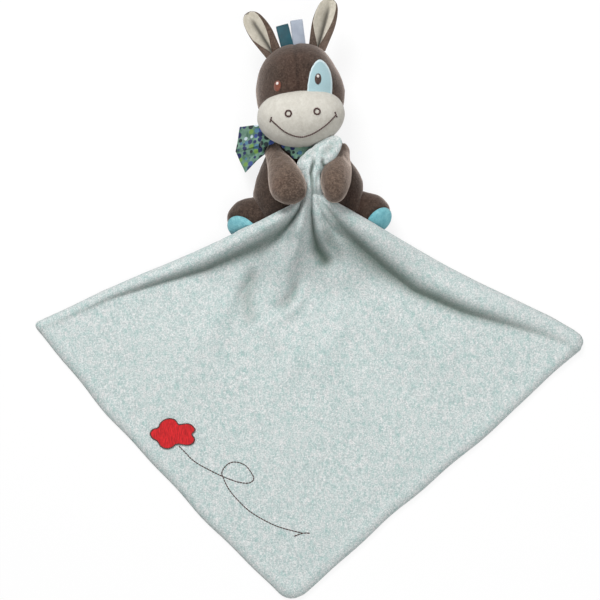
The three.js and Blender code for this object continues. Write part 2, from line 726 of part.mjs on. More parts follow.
function tailPiece(corners, rootEdge) {
  const inner = tailHinge[1] + Math.sign(rootEdge - tailHinge[1]) * (tailGap / 2);
  const upper = rootEdge > tailHinge[1];
  const ends = upper ? corners : [...corners].reverse();
  const reach = tailHinge[0] - Math.min(...corners.map(([x]) => x));
  const roots = [rootEdge, inner].map((y) => new THREE.Vector2(tailHinge[0], y));
  const rims = ends.map((corner) => new THREE.Vector2(...corner));
  const counts = tailGridCounts;
  const grid = Array.from({ length: counts.along + 1 }, (_, j) => {
    const [first, second] = roots.map((root, k) => root.clone().lerp(rims[k], j / counts.along));
    return Array.from({ length: counts.across + 1 }, (_unused, i) => {
      const { x, y } = first.clone().lerp(second, i / counts.across);
      const fall = tailDrop * Math.sin((Math.PI / 2) * Math.min(1, (tailHinge[0] - x) / reach));
      const wave = tailWave * Math.sin((2 * Math.PI * i) / counts.across) * (j / counts.along);
      return new THREE.Vector3(x, y, tailHinge[2] - fall + wave);
    });
  });
  return solidOf(sheetForm(grid, -tailThickness / 2, tailThickness / 2))
    .subtract(solidFrom([...Object.values(headForms(fine)), knotForm()], gap));
}

// Blanket: rows run out from the hold, columns from the left edge over the lower corner to the right edge
function blanketCorners() {
  const lower = new THREE.Vector2(...lowerCorner);
  const corner = (angle) => lower.clone()
    .add(new THREE.Vector2(blanketSide, 0).rotateAround(new THREE.Vector2(), radians(angle)));
  return [corner(leftSideAngle), lower, corner(rightSideAngle)];
}

// The height that keeps the cloth off the belly, the thighs and the feet under it
function drapeOver(x, y) {
  const rounds = Object.values(legs).flatMap((leg) => [
    { centre: leg.foot, radii: [footRadius, footRadius, footRadius] },
    { centre: leg.hip, radii: [hipRadius, hipRadius, hipRadius] },
  ]);
  const bellyMiddle = THREE.MathUtils.lerp(torsoBottom, torsoTop, waistShare);
  rounds.push({
    centre: [0, bellyMiddle, torsoHalfDepth - backFlat],
    radii: [torsoHalfWidth, bellyMiddle - torsoBottom, torsoHalfDepth],
  });
  return Math.max(0, ...rounds.map(({ centre, radii }) => {
    const grownRadii = radii.map((radius) => radius + drapeMargin);
    const inside = 1 - ((x - centre[0]) / grownRadii[0]) ** 2 - ((y - centre[1]) / grownRadii[1]) ** 2;
    return inside > 0 ? centre[2] + grownRadii[2] * Math.sqrt(inside) : 0;
  }));
}

function clothHeight(x, y, across, firstLayerOnly) {
  const far = Math.hypot(x - holdPlace[0], y - holdPlace[1]);
  const lay = blanketLayer + gap - backFlat;
  const reach = THREE.MathUtils.lerp(middleReach, edgeReach, (2 * across - 1) ** 2);
  const fall = 1 - THREE.MathUtils.smoothstep(far, 0, reach);
  const fade = Math.max(0, 1 - far / pleatReach) ** pleatFade * Math.min(1, far / pleatStart);
  const open = lay + (holdHeight - lay) * fall + pleatHeight * fade * foldAt(across);
  const under = drapeOver(x, y);
  const lift = under > 0 ? under + (firstLayerOnly ? 0 : blanketLayer + gap) : 0;
  return Math.max(lay, open, lift);
}

function blanketGrid() {
  const [left, lower, right] = blanketCorners();
  const hold = new THREE.Vector2(...holdPlace);
  const grid = [];
  for (let j = 0; j <= clothGridCounts.along; j += 1) {
    const out = (j / clothGridCounts.along) ** clothSpread;
    const row = [];
    for (let i = 0; i <= clothGridCounts.across; i += 1) {
      const across = i / clothGridCounts.across;
      const side = across < 1 / 2 ? [left, lower, 2 * across] : [lower, right, 2 * across - 1];
      const rim = side[0].clone().lerp(side[1], side[2]);
      const heading = rim.clone().sub(hold).normalize();
      const start = hold.clone().addScaledVector(heading, holdRadius);
      const place = start.lerp(rim, out);
      const bow = edgeBow * Math.abs(2 * across - 1) ** 6 * Math.sin(Math.PI * out);
      place.y += bow;
      const first = place.distanceTo(hold) < backStart;
      row.push(new THREE.Vector3(place.x, place.y, clothHeight(place.x, place.y, across, first)));
    }
    grid.push(row);
  }
  return grid;
}

function blanketPieces() {
  const grid = blanketGrid();
  const firstBackRow = grid.findIndex((row) => row.every((place) => (
    Math.hypot(place.x - holdPlace[0], place.y - holdPlace[1]) >= backStart
  )));
  const sheet = solidOf(sheetForm(grid, 0, blanketLayer));
  const tuft = solidFrom([limbForm({
    path: tuftPath, halfWidth: tuftHalfWidth, widthShares: tuftWidthShares, halfThickness: tuftHalfThickness,
    thicknessShares: tuftThicknessShares, face: tuftFace, detail: middle,
  })]);
  const around = solidFrom([torsoForms(fine)[0]], gap)
    .add(bandSolid(gap))
    .add(Object.values(arms).map(armSweep).reduce((all, one) => all.add(one)))
    .add(solidFrom(Object.values(headForms(fine)), gap));
  const back = solidOf(sheetForm(grid.slice(firstBackRow), -gap - blanketLayer, -gap, 0));
  const outline = Array.from({ length: petalPoints * petalCount }, (_, i) => {
    const angle = (2 * Math.PI * i) / (petalPoints * petalCount);
    const swell = 1 + petalShare * Math.cos(petalCount * angle + Math.PI / petalCount);
    const reach = new THREE.Vector2(flowerHalfWidth * Math.cos(angle), flowerHalfHeight * Math.sin(angle));
    return reach.multiplyScalar(swell).add(new THREE.Vector2(...flowerPlace)).toArray();
  });
  const felt = solidOf(sheetForm(grid, blanketLayer + gap, blanketLayer + gap + flowerThickness));
  return {
    blanket_front: [sheet.add(tuft).subtract(around), 'fleece'],
    blanket_back: [back, 'fleece'],
    flower_patch: [felt.intersect(postOf(outline)), 'felt'],
  };
}

function meshOf(name, solid, colour, pivot) {
  const geometry = geometryOf(mainBody(solid)).translate(...pivot.map((value) => -value));
  const material = new THREE.MeshStandardMaterial({ color: colours[colour], roughness: 0.95, metalness: 0 });
  const mesh = new THREE.Mesh(geometry, material);
  mesh.name = name;
  return mesh;
}

// A group whose own place is the point that its pieces turn about
function assembly(pivot, pieces) {
  const group = new THREE.Group();
  group.position.set(...pivot);
  Object.entries(pieces).forEach(([name, [solid, colour]]) => group.add(meshOf(name, solid, colour, pivot)));
  return group;
}

function build() {
  const lovey = new THREE.Group();
  lovey.name = 'comfort_blanket_lovey';
  lovey.add(assembly([0, 0, 0], {
    ...torsoPieces(), scarf_band: [bandPiece(), 'print'], scarf_knot: [knotPiece(), 'print'],
    ...blanketPieces(),
  }));
  lovey.add(assembly(neckPivot, { ...headPieces(), ...facePieces(), ...ribbonPieces() }));
  lovey.add(assembly(rightEarBase, earPieces('right', rightEarBase, rightEarTip)));
  lovey.add(assembly(leftEarBase, earPieces('left', leftEarBase, leftEarTip)));
  lovey.add(assembly(tailHinge, { scarf_upper_tail: [tailPiece(upperTailCorners, upperTailRoot), 'print'] }));
  lovey.add(assembly(tailHinge, { scarf_lower_tail: [tailPiece(lowerTailCorners, lowerTailRoot), 'print'] }));
  Object.entries(arms).forEach(([side, arm]) => lovey.add(assembly(arm.shoulder, armPieces(side, arm))));
  Object.entries(legs).forEach(([side, leg]) => {
    const sole = { [`${side}_sole`]: [solePiece(leg), 'sole'] };
    lovey.add(assembly(leg.hip, { ...legPieces(side, leg), ...sole }));
  });
  return lovey;
}

export default build();
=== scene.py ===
import math

import bpy
import numpy as np
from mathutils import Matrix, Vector
from mathutils.bvhtree import BVHTree


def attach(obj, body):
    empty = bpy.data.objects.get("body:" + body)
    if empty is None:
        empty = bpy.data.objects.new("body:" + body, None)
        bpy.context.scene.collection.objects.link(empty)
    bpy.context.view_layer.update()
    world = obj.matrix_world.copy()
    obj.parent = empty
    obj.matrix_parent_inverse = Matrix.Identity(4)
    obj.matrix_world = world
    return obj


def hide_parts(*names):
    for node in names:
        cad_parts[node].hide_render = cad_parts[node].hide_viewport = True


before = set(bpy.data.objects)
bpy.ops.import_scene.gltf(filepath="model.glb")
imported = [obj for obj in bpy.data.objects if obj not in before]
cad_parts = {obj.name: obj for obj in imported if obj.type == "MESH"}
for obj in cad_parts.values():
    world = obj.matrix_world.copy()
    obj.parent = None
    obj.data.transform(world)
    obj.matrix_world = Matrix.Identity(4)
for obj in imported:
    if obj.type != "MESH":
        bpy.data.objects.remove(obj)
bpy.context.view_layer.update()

# Camera, table and light
# The photo is a flat lay on white, taken from almost straight above, with soft light from the top left.
# The table is a wide pale sheet just under the toy, and keeps its soft shadow.
mm = 0.001
scene = bpy.context.scene
scene.view_settings.view_transform = "Standard"
camera_place = (-7 * mm, -236.9 * mm, 1292.9 * mm)
camera_tilt = math.radians(6)
bpy.ops.object.camera_add(location=camera_place, rotation=(camera_tilt, 0, 0))
camera = bpy.context.object
camera.data.lens = 89.14
camera.data.clip_end = 20
scene.camera = camera


def colour(red, green, blue):
    """A colour as it is seen on a screen, from 0 to 255, in the values that a shader needs."""
    shares = [value / 255 for value in (red, green, blue)]
    return (*[s / 12.92 if s < 0.04045 else ((s + 0.055) / 1.055) ** 2.4 for s in shares], 1)


def new_material(name):
    material = bpy.data.materials.new(name)
    material.use_nodes = True
    return material, material.node_tree, material.node_tree.nodes["Principled BSDF"]


def add_node(tree, kind, settings=None, **inputs):
    """One node; an input is a value, or another node's output."""
    node = tree.nodes.new("ShaderNode" + kind)
    for key, value in (settings or {}).items():
        setattr(node, key, value)
    for key, value in inputs.items():
        numbered = key[0] == "i" and key[1:].isdigit()
        socket = node.inputs[int(key[1:])] if numbered else node.inputs[key.replace("_", " ")]
        if isinstance(value, bpy.types.NodeSocket):
            tree.links.new(value, socket)
        else:
            socket.default_value = value
    return node


def plain_white_seen(tree, lit, share):
    """The lit surface, which the camera sees as plain white for the given share."""
    seen = add_node(tree, "LightPath").outputs["Is Camera Ray"]
    part = add_node(tree, "Math", {"operation": "MULTIPLY"}, i0=seen, i1=share)
    return add_node(tree, "MixShader", i0=part.outputs[0], i1=lit.outputs[0])


bpy.ops.mesh.primitive_plane_add(size=6, location=(0, 0, -0.6 * mm))
table = bpy.context.object
table.name = "table"
table_white, tree, shader = new_material("table_white")
shader.inputs["Base Color"].default_value = colour(240, 240, 240)
shader.inputs["Roughness"].default_value = 0.9
mixed = plain_white_seen(tree, shader, 0.85)
glow = add_node(tree, "Emission", Color=(1, 1, 1, 1), Strength=1)
tree.links.new(glow.outputs[0], mixed.inputs[2])
tree.links.new(mixed.outputs[0], tree.nodes["Material Output"].inputs["Surface"])
table.data.materials.append(table_white)

world = bpy.data.worlds.new("soft_room")
world.use_nodes = True
scene.world = world
tree = world.node_tree
room = tree.nodes["Background"]
room.inputs["Color"].default_value = (1, 1, 1, 1)
room.inputs["Strength"].default_value = 0.26
mixed = plain_white_seen(tree, room, 1)
white = add_node(tree, "Background", Color=(1, 1, 1, 1), Strength=1)
tree.links.new(white.outputs[0], mixed.inputs[2])
tree.links.new(mixed.outputs[0], tree.nodes["World Output"].inputs["Surface"])

for name, place, size, power in (
    ("key_light", (-0.42, 0.85, 1.33), 0.65, 23),
    ("fill_light", (0.4, -0.6, 1.4), 0.8, 9.8),
):
    bpy.ops.object.light_add(type="AREA", location=place)
    lamp = bpy.context.object
    lamp.name = name
    lamp.data.size = size
    lamp.data.energy = power
    lamp.rotation_euler = Vector(place).to_track_quat("Z", "Y").to_euler()

# Torso
# The pear-shaped body is brown velour, sewn in two halves down the middle of the back and front, turned and
# filled with loose fibre. It is puffed up by a short cloth simulation between its sewn lines.
def only(piece):
    bpy.ops.object.select_all(action="DESELECT")
    piece.select_set(True)
    bpy.context.view_layer.objects.active = piece


def shade_round(piece):
    only(piece)
    bpy.ops.object.shade_smooth()


def finished(piece, kind, **settings):
    """Adds one modifier and applies it."""
    modifier = piece.modifiers.new(kind.lower(), kind)
    for key, value in settings.items():
        setattr(modifier, key, value)
    only(piece)
    bpy.ops.object.modifier_apply(modifier=modifier.name)


def points_of(piece):
    """The points in millimetres."""
    points = np.empty(len(piece.data.vertices) * 3)
    piece.data.vertices.foreach_get("co", points)
    return points.reshape(-1, 3) / mm


def normals_of(piece):
    normals = np.empty(len(piece.data.vertices) * 3)
    piece.data.vertex_normals.foreach_get("vector", normals)
    return normals.reshape(-1, 3)


def move_points(piece, points):
    """Places the points, which are given in millimetres."""
    piece.data.vertices.foreach_set("co", (np.asarray(points) * mm).ravel())
    piece.data.update()


def paint(piece, name, shares):
    """Keeps a share for each point, which a material reads by its name."""
    attribute = piece.data.attributes.new(name, "FLOAT", "POINT")
    attribute.data.foreach_set("value", np.asarray(shares, np.float32))


def ease(values, low, high):
    """From 0 at low to 1 at high, with soft ends."""
    part = np.clip((values - low) / (high - low), 0, 1)
    return part * part * (3 - 2 * part)


def bell(values, width):
    """1 at zero, dying away on both sides."""
    return np.exp(-((values / width) ** 2))


def joined(pieces):
    """The pieces as one, under the first one's name."""
    only(pieces[0])
    for piece in pieces[1:]:
        piece.select_set(True)
    bpy.ops.object.join()
    return pieces[0]


def joined_copy(name, nodes, closed=False):
    """One mesh made from copies of the named solids."""
    copies = []
    for node in nodes:
        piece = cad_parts[node].copy()
        piece.data = piece.data.copy()
        piece.data.materials.clear()
        for key in list(piece.keys()):
            del piece[key]
        piece.parent = None
        scene.collection.objects.link(piece)
        copies.append(piece)
    piece = joined(copies[::-1])
    piece.name = name
    bpy.ops.object.mode_set(mode="EDIT")
    bpy.ops.mesh.select_all(action="SELECT")
    bpy.ops.mesh.remove_doubles(threshold=0.01 * mm)
    if closed:
        bpy.ops.mesh.convex_hull()
    bpy.ops.object.mode_set(mode="OBJECT")
    return piece


def puffed(piece, sewn, cap):
    """Blows the cloth up from inside while the sewn lines hold, and keeps every point within the cap."""
    sewn_reach, pressure, steps = 1.5, 4, 20
    rest = points_of(piece)
    group = piece.vertex_groups.new(name="sewn")
    group.add([int(i) for i in np.flatnonzero(sewn(rest) < sewn_reach)], 1, "REPLACE")
    cloth = piece.modifiers.new("cloth", "CLOTH")
    cloth.settings.quality = 5
    cloth.settings.vertex_group_mass = "sewn"
    cloth.settings.use_pressure = True
    cloth.settings.uniform_pressure_force = pressure
    cloth.settings.shrink_min = -0.02
    cloth.settings.effector_weights.gravity = 0
    cloth.point_cache.frame_end = steps
    for step in range(1, steps + 1):
        scene.frame_set(step)
    blown = piece.evaluated_get(bpy.context.evaluated_depsgraph_get()).to_mesh()
    points = np.empty(len(blown.vertices) * 3)
    blown.vertices.foreach_get("co", points)
    move = points.reshape(-1, 3) / mm - rest
    length = np.maximum(np.linalg.norm(move, axis=1, keepdims=True), 1e-9)
    piece.modifiers.remove(cloth)
    move_points(piece, rest + move * np.minimum(1, cap / length))
    scene.frame_set(1)


def stuffed(name, nodes, sewn, voxel=3.0, draw_in=0.5, cap=1.4, closed=False):
    """A filled cloth form in the place of a skin and its filling, with a groove along its sewn lines."""
    seam_depth, seam_width = 0.7, 1.3
    piece = joined_copy(name, nodes, closed)
    finished(piece, "REMESH", mode="VOXEL", voxel_size=voxel * mm)
    finished(piece, "SMOOTH", factor=0.5, iterations=12)
    move_points(piece, points_of(piece) - draw_in * normals_of(piece))
    puffed(piece, sewn, cap)
    finished(piece, "SMOOTH", factor=0.5, iterations=2)
    finished(piece, "SUBSURF", levels=1, render_levels=1)
    points = points_of(piece)
    closeness = bell(sewn(points), seam_width)
    move_points(piece, points - seam_depth * closeness[:, None] * normals_of(piece))
    paint(piece, "seam_and_fold_shade", closeness)
    shade_round(piece)
    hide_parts(*nodes)
    return piece


def new_cloth(name):
    """A new material with its node tree and shader, and the place of each point in the object."""
    material, tree, shader = new_material(name)
    return material, tree, shader, add_node(tree, "TexCoord").outputs["Object"]


def noise(tree, place, scale, detail, roughness=0.5, distortion=0):
    settings = dict(Vector=place, Scale=scale, Detail=detail, Roughness=roughness, Distortion=distortion)
    return add_node(tree, "TexNoise", **settings).outputs["Fac"]


def read_between(tree, value, low, high, most=1):
    """From 0 at low to most at high."""
    return add_node(tree, "MapRange", Value=value, From_Min=low, From_Max=high, To_Max=most).outputs[0]


def blend(tree, share, first, second):
    return add_node(tree, "Mix", {"data_type": "RGBA"}, i0=share, i6=first, i7=second).outputs[2]


def blend_values(tree, share, first, second):
    return add_node(tree, "Mix", {"data_type": "FLOAT"}, i0=share, i2=first, i3=second).outputs[0]


def painted(tree, name):
    return add_node(tree, "Attribute", {"attribute_name": name}).outputs["Fac"]


def tones(tree, value, *stops, interpolation="LINEAR"):
    """A colour ramp through stops, each a place and a colour."""
    ramp = add_node(tree, "ValToRGB", Fac=value)
    ramp.color_ramp.interpolation = interpolation
    elements = ramp.color_ramp.elements
    for element, (at, tone) in zip(elements, (stops[0], stops[-1])):
        element.position = at
        element.color = colour(*tone)
    for at, tone in stops[1:-1]:
        elements.new(at).color = colour(*tone)
    return ramp.outputs[0]


def bump(tree, height, strength, depth, **under):
    return add_node(tree, "Bump", Strength=strength, Distance=depth * mm, Height=height, **under).outputs[0]


def complete(tree, shader, tone, normal, **constants):
    """Links colour and bump to the shader, and sets its other values."""
    tree.links.new(tone, shader.inputs["Base Color"])
    tree.links.new(normal, shader.inputs["Normal"])
    for key, value in constants.items():
        shader.inputs[key.replace("_", " ")].default_value = value


def velour(name, deep, light, blush, sheen, shade_in_seams_and_folds=0.45, flecks=0.6):
    """Short brushed pile: clouds where the nap lies one way or the other, fine tips, and painted shade along sewn
    grooves and in folds.
    """
    material, tree, shader, place = new_cloth(name)
    clouds = noise(tree, place, 34, 4, 0.6)
    combed = add_node(tree, "Mapping", Vector=place, Scale=(1, 0.6, 1)).outputs[0]
    nap = noise(tree, combed, 300, 3, 0.7)
    tips = noise(tree, place, 640, 3, 0.8)
    ground = tones(tree, blend_values(tree, 0.5, clouds, nap), (0.38, deep), (0.63, light))
    warm = read_between(tree, noise(tree, place, 21, 2), 0.5, 0.75, 0.45)
    warmed = blend(tree, warm, ground, colour(*blush))
    shadow = read_between(tree, tips, 0.5, 0.36, 0.8 * flecks)
    dimmed = blend(tree, shadow, warmed, colour(*[value * 0.72 for value in deep]))
    shine = read_between(tree, tips, 0.5, 0.64, 0.7 * flecks)
    tipped = blend(tree, shine, dimmed, colour(*[min(236, value * 1.2 + 14) for value in light]))
    # painted shade: darker along sewn grooves and deep in folds, by the share painted on each point
    dark = add_node(tree, "Math", {"operation": "MULTIPLY"}, i0=painted(tree, "seam_and_fold_shade"), i1=shade_in_seams_and_folds).outputs[0]
    shaded = blend(tree, dark, tipped, colour(*[value * 0.45 for value in deep]))
    fine = bump(tree, tips, 0.7, 0.6, Normal=bump(tree, nap, 0.25, 0.7))
    complete(tree, shader, shaded, fine, Roughness=0.95, Specular_IOR_Level=0.15, Sheen_Weight=sheen,
             Sheen_Roughness=0.45, Sheen_Tint=colour(*[min(255, value + 120) for value in light]))
    return material


# the same brown cloth twice: as it is on the arms and ears, and as a copy painted darker for shade on the torso, crown
# and legs
brown_velour = velour("brown_velour", (64, 52, 45), (102, 86, 75), (104, 74, 60), sheen=1.0)
shaded_velour = velour("shaded_velour", (42, 33, 29), (72, 59, 51), (84, 59, 49), sheen=1.0)


def torso_seams(points):
    """How far each point is from the line down the middle of the front and back."""
    return np.abs(points[:, 0] + 3 * ease(points[:, 1], -13, 44))


torso = stuffed("torso", ["torso_skin", "torso_filling"], torso_seams, closed=True)
side_swell = 3
points = points_of(torso)
points[:, 0] += side_swell * bell(points[:, 1] - 6, 15) * ease(points[:, 0], 10, 40)
move_points(torso, points)
torso.data.materials.append(shaded_velour)
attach(torso, "body")

# Head
# The round crown is two velour panels with a seam from the forehead over the top to the neck, filled tight.
# It is sewn to the torso at the neck, under the scarf.
head_lean = math.radians(5)


def head_middle(points):
    """How far each point is from the middle of the head, which leans a little to one side."""
    return np.abs((points[:, 0] + 6.4) * math.cos(head_lean) + (points[:, 1] - 50.3) * math.sin(head_lean))


crown = stuffed("crown", ["head_skin", "head_filling"], head_middle, voxel=3.2)
temple_draw_in = 4.4
points = points_of(crown)
points[:, 0] -= temple_draw_in * bell(points[:, 1] - 102, 17) * ease(points[:, 0], -8, 30)
move_points(crown, points)
crown.data.materials.append(shaded_velour)
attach(crown, "head")

# Arms
# Each arm is a velour tube, narrow at the shoulder and wide at the paw, filled and sewn in at the shoulder.
# The paws meet over the gathered corner of the blanket.
for side, shoulder, paw in (("right", (-28.5, 22.5), (-15.6, -10)), ("left", (31, 23.5), (21.6, -9))):
    def arm_seam(points, shoulder=shoulder, paw=paw):
        """How far each point is from the seam along the outer side of the arm, under its widest line."""
        run = np.subtract(paw, shoulder) / np.linalg.norm(np.subtract(paw, shoulder))
        across = (points[:, 0] - shoulder[0]) * run[1] - (points[:, 1] - shoulder[1]) * run[0]
        return np.abs(across) + 4 * np.maximum(0, points[:, 2] - 56)

    skin_and_filling = [side + "_arm_skin", side + "_arm_filling"]
    arm = stuffed(side + "_arm", skin_and_filling, arm_seam, voxel=2.2, cap=0.9, draw_in=0.3)
    points = points_of(arm)
    reach = ease(-points[:, 1], -8, 18)
    points[:, 1] -= 5 * reach
    if side == "right":
        points[:, 0] += (0.16 * (points[:, 0] + 17) - 0.5) * reach
    else:
        outer_side = ease(points[:, 1], -14, 22) * ease(points[:, 0], 16, 42)
        points[:, 0] -= 0.22 * (points[:, 0] - 23) * reach + 4 * outer_side
    move_points(arm, points)
    arm.data.materials.append(brown_velour)
    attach(arm, side + "_arm")

# Legs and soles
# Each short leg is a filled velour tube whose foot is closed by a round turquoise sole, sewn in all round.
# The soles are a smoother cotton velour, slightly crowned by the filling behind them.
def new_piece(name, primitive, **sizes):
    """A Blender primitive under a name of its own."""
    bpy.ops.object.select_all(action="DESELECT")
    primitive(**sizes)
    piece = bpy.context.object
    piece.name = name
    return piece


def unit_points(piece):
    """The points of a primitive that is one unit large."""
    return points_of(piece) * mm


def new_ball(name, segments, rings):
    ball = new_piece(name, bpy.ops.mesh.primitive_uv_sphere_add, segments=segments, ring_count=rings, radius=1)
    return ball, unit_points(ball)


sole_velour = velour("sole_velour", (100, 174, 188), (152, 214, 222), (118, 192, 204),
                     sheen=0.35, shade_in_seams_and_folds=0.3, flecks=0.2)
foot_drop, foot_drop_from, foot_drop_to = 4, 10, 36
for side, foot, facing, sole_radius, sole_out, shift in (
    ("right", (-55.5, -31, 18), (-0.35, -0.6, 0.72), 14, 10.2, 1.8),
    ("left", (57.5, -25.5, 18), (0.45, -0.55, 0.71), 12.6, 9.3, 0),
):
    outward = np.array(facing) / np.linalg.norm(facing)

    def leg_seam(points, foot=np.array(foot), outward=outward):
        """How far each point is from the round seam at the edge of the sole."""
        from_foot = points - foot
        along = from_foot @ outward
        out = np.linalg.norm(from_foot - along[:, None] * outward, axis=1)
        return np.hypot(along - 9, out - 12.6)

    skin_and_filling = [side + "_leg_skin", side + "_leg_filling"]
    leg = stuffed(side + "_leg", skin_and_filling, leg_seam, voxel=2.2, cap=0.9, draw_in=0.3)
    points = points_of(leg)
    if side == "right":
        from_foot = points - np.array(foot)
        points = points + 0.1 * from_foot * np.exp(-((np.linalg.norm(from_foot, axis=1) / 24) ** 4))[:, None]
        points[:, 0] += shift * ease(-points[:, 1], 26, 40)
    points[:, 1] -= foot_drop * ease(-points[:, 1], foot_drop_from, foot_drop_to)
    move_points(leg, points)
    leg.data.materials.append(shaded_velour)
    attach(leg, side + "_leg")

    sole, _ = new_ball(side + "_sole_patch", 48, 24)
    finished(sole, "SUBSURF", levels=1, render_levels=1)
    dome = unit_points(sole)
    facing_out = np.array([0.95 * outward[0], 1.25 * outward[1], 0.8 * outward[2]])
    facing_out /= np.linalg.norm(facing_out)
    turn = Vector((0, 0, 1)).rotation_difference(Vector(facing_out)).to_matrix()
    from_middle = np.sqrt(np.maximum(0, dome[:, 0] ** 2 + dome[:, 1] ** 2))
    height = np.where(dome[:, 2] > 0, 2.6 * dome[:, 2], 1.2 * dome[:, 2])
    shaped = np.column_stack([dome[:, :2] * sole_radius, height - 0.9])
    placed = shaped @ np.array(turn).T + np.array(foot) + sole_out * facing_out
    placed[:, 0] += shift
    placed[:, 1] -= foot_drop * ease(-placed[:, 1], foot_drop_from, foot_drop_to)
    move_points(sole, placed)
    paint(sole, "seam_and_fold_shade", ease(from_middle, 0.9, 1))
    shade_round(sole)
    sole.data.materials.append(sole_velour)
    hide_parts(side + "_sole")
    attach(sole, side + "_leg")

# Muzzle
# Two cream velour panels meet in a faint seam down the middle and are sewn to the crown all round, filled so
# that they swell over the sewn edge.
def superround(angle_share, fullness):
    """A circle's sine or cosine, made fuller towards the corners."""
    return np.sign(angle_share) * np.abs(angle_share) ** (2 / fullness)


def carved(piece, *others):
    """Cuts away what lies inside the other pieces."""
    for other in others:
        finished(piece, "BOOLEAN", operation="DIFFERENCE", object=other, solver="EXACT")


muzzle_middle = (-6.1, 49.9, 52)
half_wide, half_up, half_down, half_deep = 37.4, 22.4, 26, 27
muzzle = new_piece("muzzle", bpy.ops.mesh.primitive_ico_sphere_add, subdivisions=6, radius=1)
ball = unit_points(muzzle)
tilt = np.arcsin(np.clip(ball[:, 1], -1, 1))
turn = np.arctan2(ball[:, 2], ball[:, 0])
fullness = 2.1 + 0.35 * ease(tilt, 0, 0.3)
width = (1 - 0.08 * np.maximum(0, -np.sin(tilt))) * superround(np.cos(tilt), fullness)
across = half_wide * width * superround(np.cos(turn), 2.1)
deep = half_deep * width * superround(np.sin(turn), 2.1)
along = np.where(tilt > 0, half_up, half_down) * superround(np.sin(tilt), fullness) + 0.42 * np.maximum(0, -deep)
move_points(muzzle, np.column_stack([
    across * math.cos(head_lean) - along * math.sin(head_lean) + muzzle_middle[0],
    across * math.sin(head_lean) + along * math.cos(head_lean) + muzzle_middle[1],
    deep + muzzle_middle[2],
]))
carved(muzzle, crown, torso)
points = points_of(muzzle)
closeness = bell(head_middle(points), 0.9) * (points[:, 2] > 45)
move_points(muzzle, points - 0.5 * closeness[:, None] * normals_of(muzzle))
paint(muzzle, "seam_and_fold_shade", 0.7 * closeness)
shade_round(muzzle)
cream_velour = velour("cream_velour", (186, 182, 172), (202, 199, 190), (194, 189, 179),
                      sheen=0.15, shade_in_seams_and_folds=0.2, flecks=0.12)
muzzle.data.materials.append(cream_velour)
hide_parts("muzzle_left_panel", "muzzle_right_panel")
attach(muzzle, "head")

# Blanket
# A square of heathered fleece with a lining of the same, sewn round the edge and turned. Its top corner is
# gathered in the paws, and the rest is drawn out of the hold in folds that die away towards the lower hem.
hold = np.array([3.2, -13.0])
left_corner = np.array([-239.0, -122.5])
low_corner = np.array([-15.4, -362.3])
right_corner = np.array([244.3, -135.6])
lay, hold_height, roll_height = 2.3, 47.3, 10
face_thickness, lining_thickness = 1.2, 1.1
# rises and dips between the two rolled sides: points along the line, height, width; the deeper dips are also painted
# in shade
ripples = (
    ((-0.5, -16, 3, 2.2), (-3.6, -29, 8, 3.6), (-7.4, -46, 10.5, 5), (-11.8, -61, 11, 6.5), (-18, -76, 8.5, 8),
     (-23, -93, 5.5, 9), (-32, -107, 0.8, 11)),
    ((3, -16, -3, 1.3), (2.6, -32, -7, 2), (4.6, -47, -11, 3.6), (8.6, -58, -12, 6.5), (15, -67, -8, 8),
     (24, -73, -1.5, 8)),
    ((5.5, -18, 1.5, 1.5), (10, -32, 2, 2.5), (14, -46, 1.5, 4), (18, -58, 1, 5)),
    ((-4.4, -19, -1.5, 1.3), (-7.4, -29.6, -6, 2.1), (-16.4, -39.9, -7, 3.6), (-28, -49, -6, 5.5),
     (-43.3, -59, -4.4, 7), (-62, -66, -1, 7)),
    ((7, -24, -1.5, 1.2), (13, -34, -4, 2), (21, -43.5, -4, 3), (34, -51, -2.6, 4), (48, -62, -1.5, 5)),
    ((12, -38, -2.6, 4), (19, -52, -4.6, 7), (28, -64, -3.4, 8), (38, -73, -0.8, 8)),
    ((-8, -84, -1.2, 3.5), (-10.4, -89.4, -3, 4), (-13.4, -98.7, -4, 4), (-19.7, -105.7, -3.6, 4.5),
     (-28.9, -111.2, -1.5, 6)),
    ((-3, -92, 1.6, 5), (-7, -102, 3, 5), (-14, -111, 3.2, 5), (-28, -118, 1.6, 6)),
    ((-44, -72, -1, 6), (-49, -82, -4, 6), (-54, -100, -3.8, 7), (-50, -120, -2.6, 8), (-46, -130, 0, 8)),
    ((-62, -86, 3.4, 8), (-72, -108, 4.4, 9), (-84, -132, 3.2, 11), (-92, -156, 1.8, 13), (-98, -180, 0.2, 14)),
    ((-40, -124, 2.2, 7), (-30, -136, 1.6, 8), (-14, -141, 0.4, 8)),
    ((0, -126, 0.6, 7), (-8, -150, 2.6, 8), (-22, -172, 2, 10), (-34, -190, 0.2, 12)),
    ((30, -104, 1, 8), (26, -130, 2.6, 9), (14, -156, 2, 11), (2, -176, 0.2, 12)),
    ((60, -100, 2.4, 12), (88, -126, 3.2, 14), (112, -150, 2, 18), (124, -170, 0.2, 20)),
    ((100, -110, -1.5, 8), (108, -128, -1.8, 9), (112, -144, 0, 9)),
    ((-150, -140, 1.6, 20), (-120, -180, 1.4, 22)),
    ((40, -190, 1.4, 26), (70, -240, 1.2, 26)),
)


def along_line(places, line):
    """For each place: how far it is from the line, and the line's two values there."""
    best = np.full(len(places), 1e9)
    values = np.zeros((len(places), 2))
    for start, end in zip(np.array(line[:-1]), np.array(line[1:])):
        run = end[:2] - start[:2]
        part = np.clip(((places - start[:2]) @ run) / (run @ run), 0, 1)
        far = np.linalg.norm(places - start[:2] - part[:, None] * run, axis=1)
        nearer = far < best
        best[nearer] = far[nearer]
        values[nearer] = (start[2:] + part[:, None] * (end[2:] - start[2:]))[nearer]
    return best, values


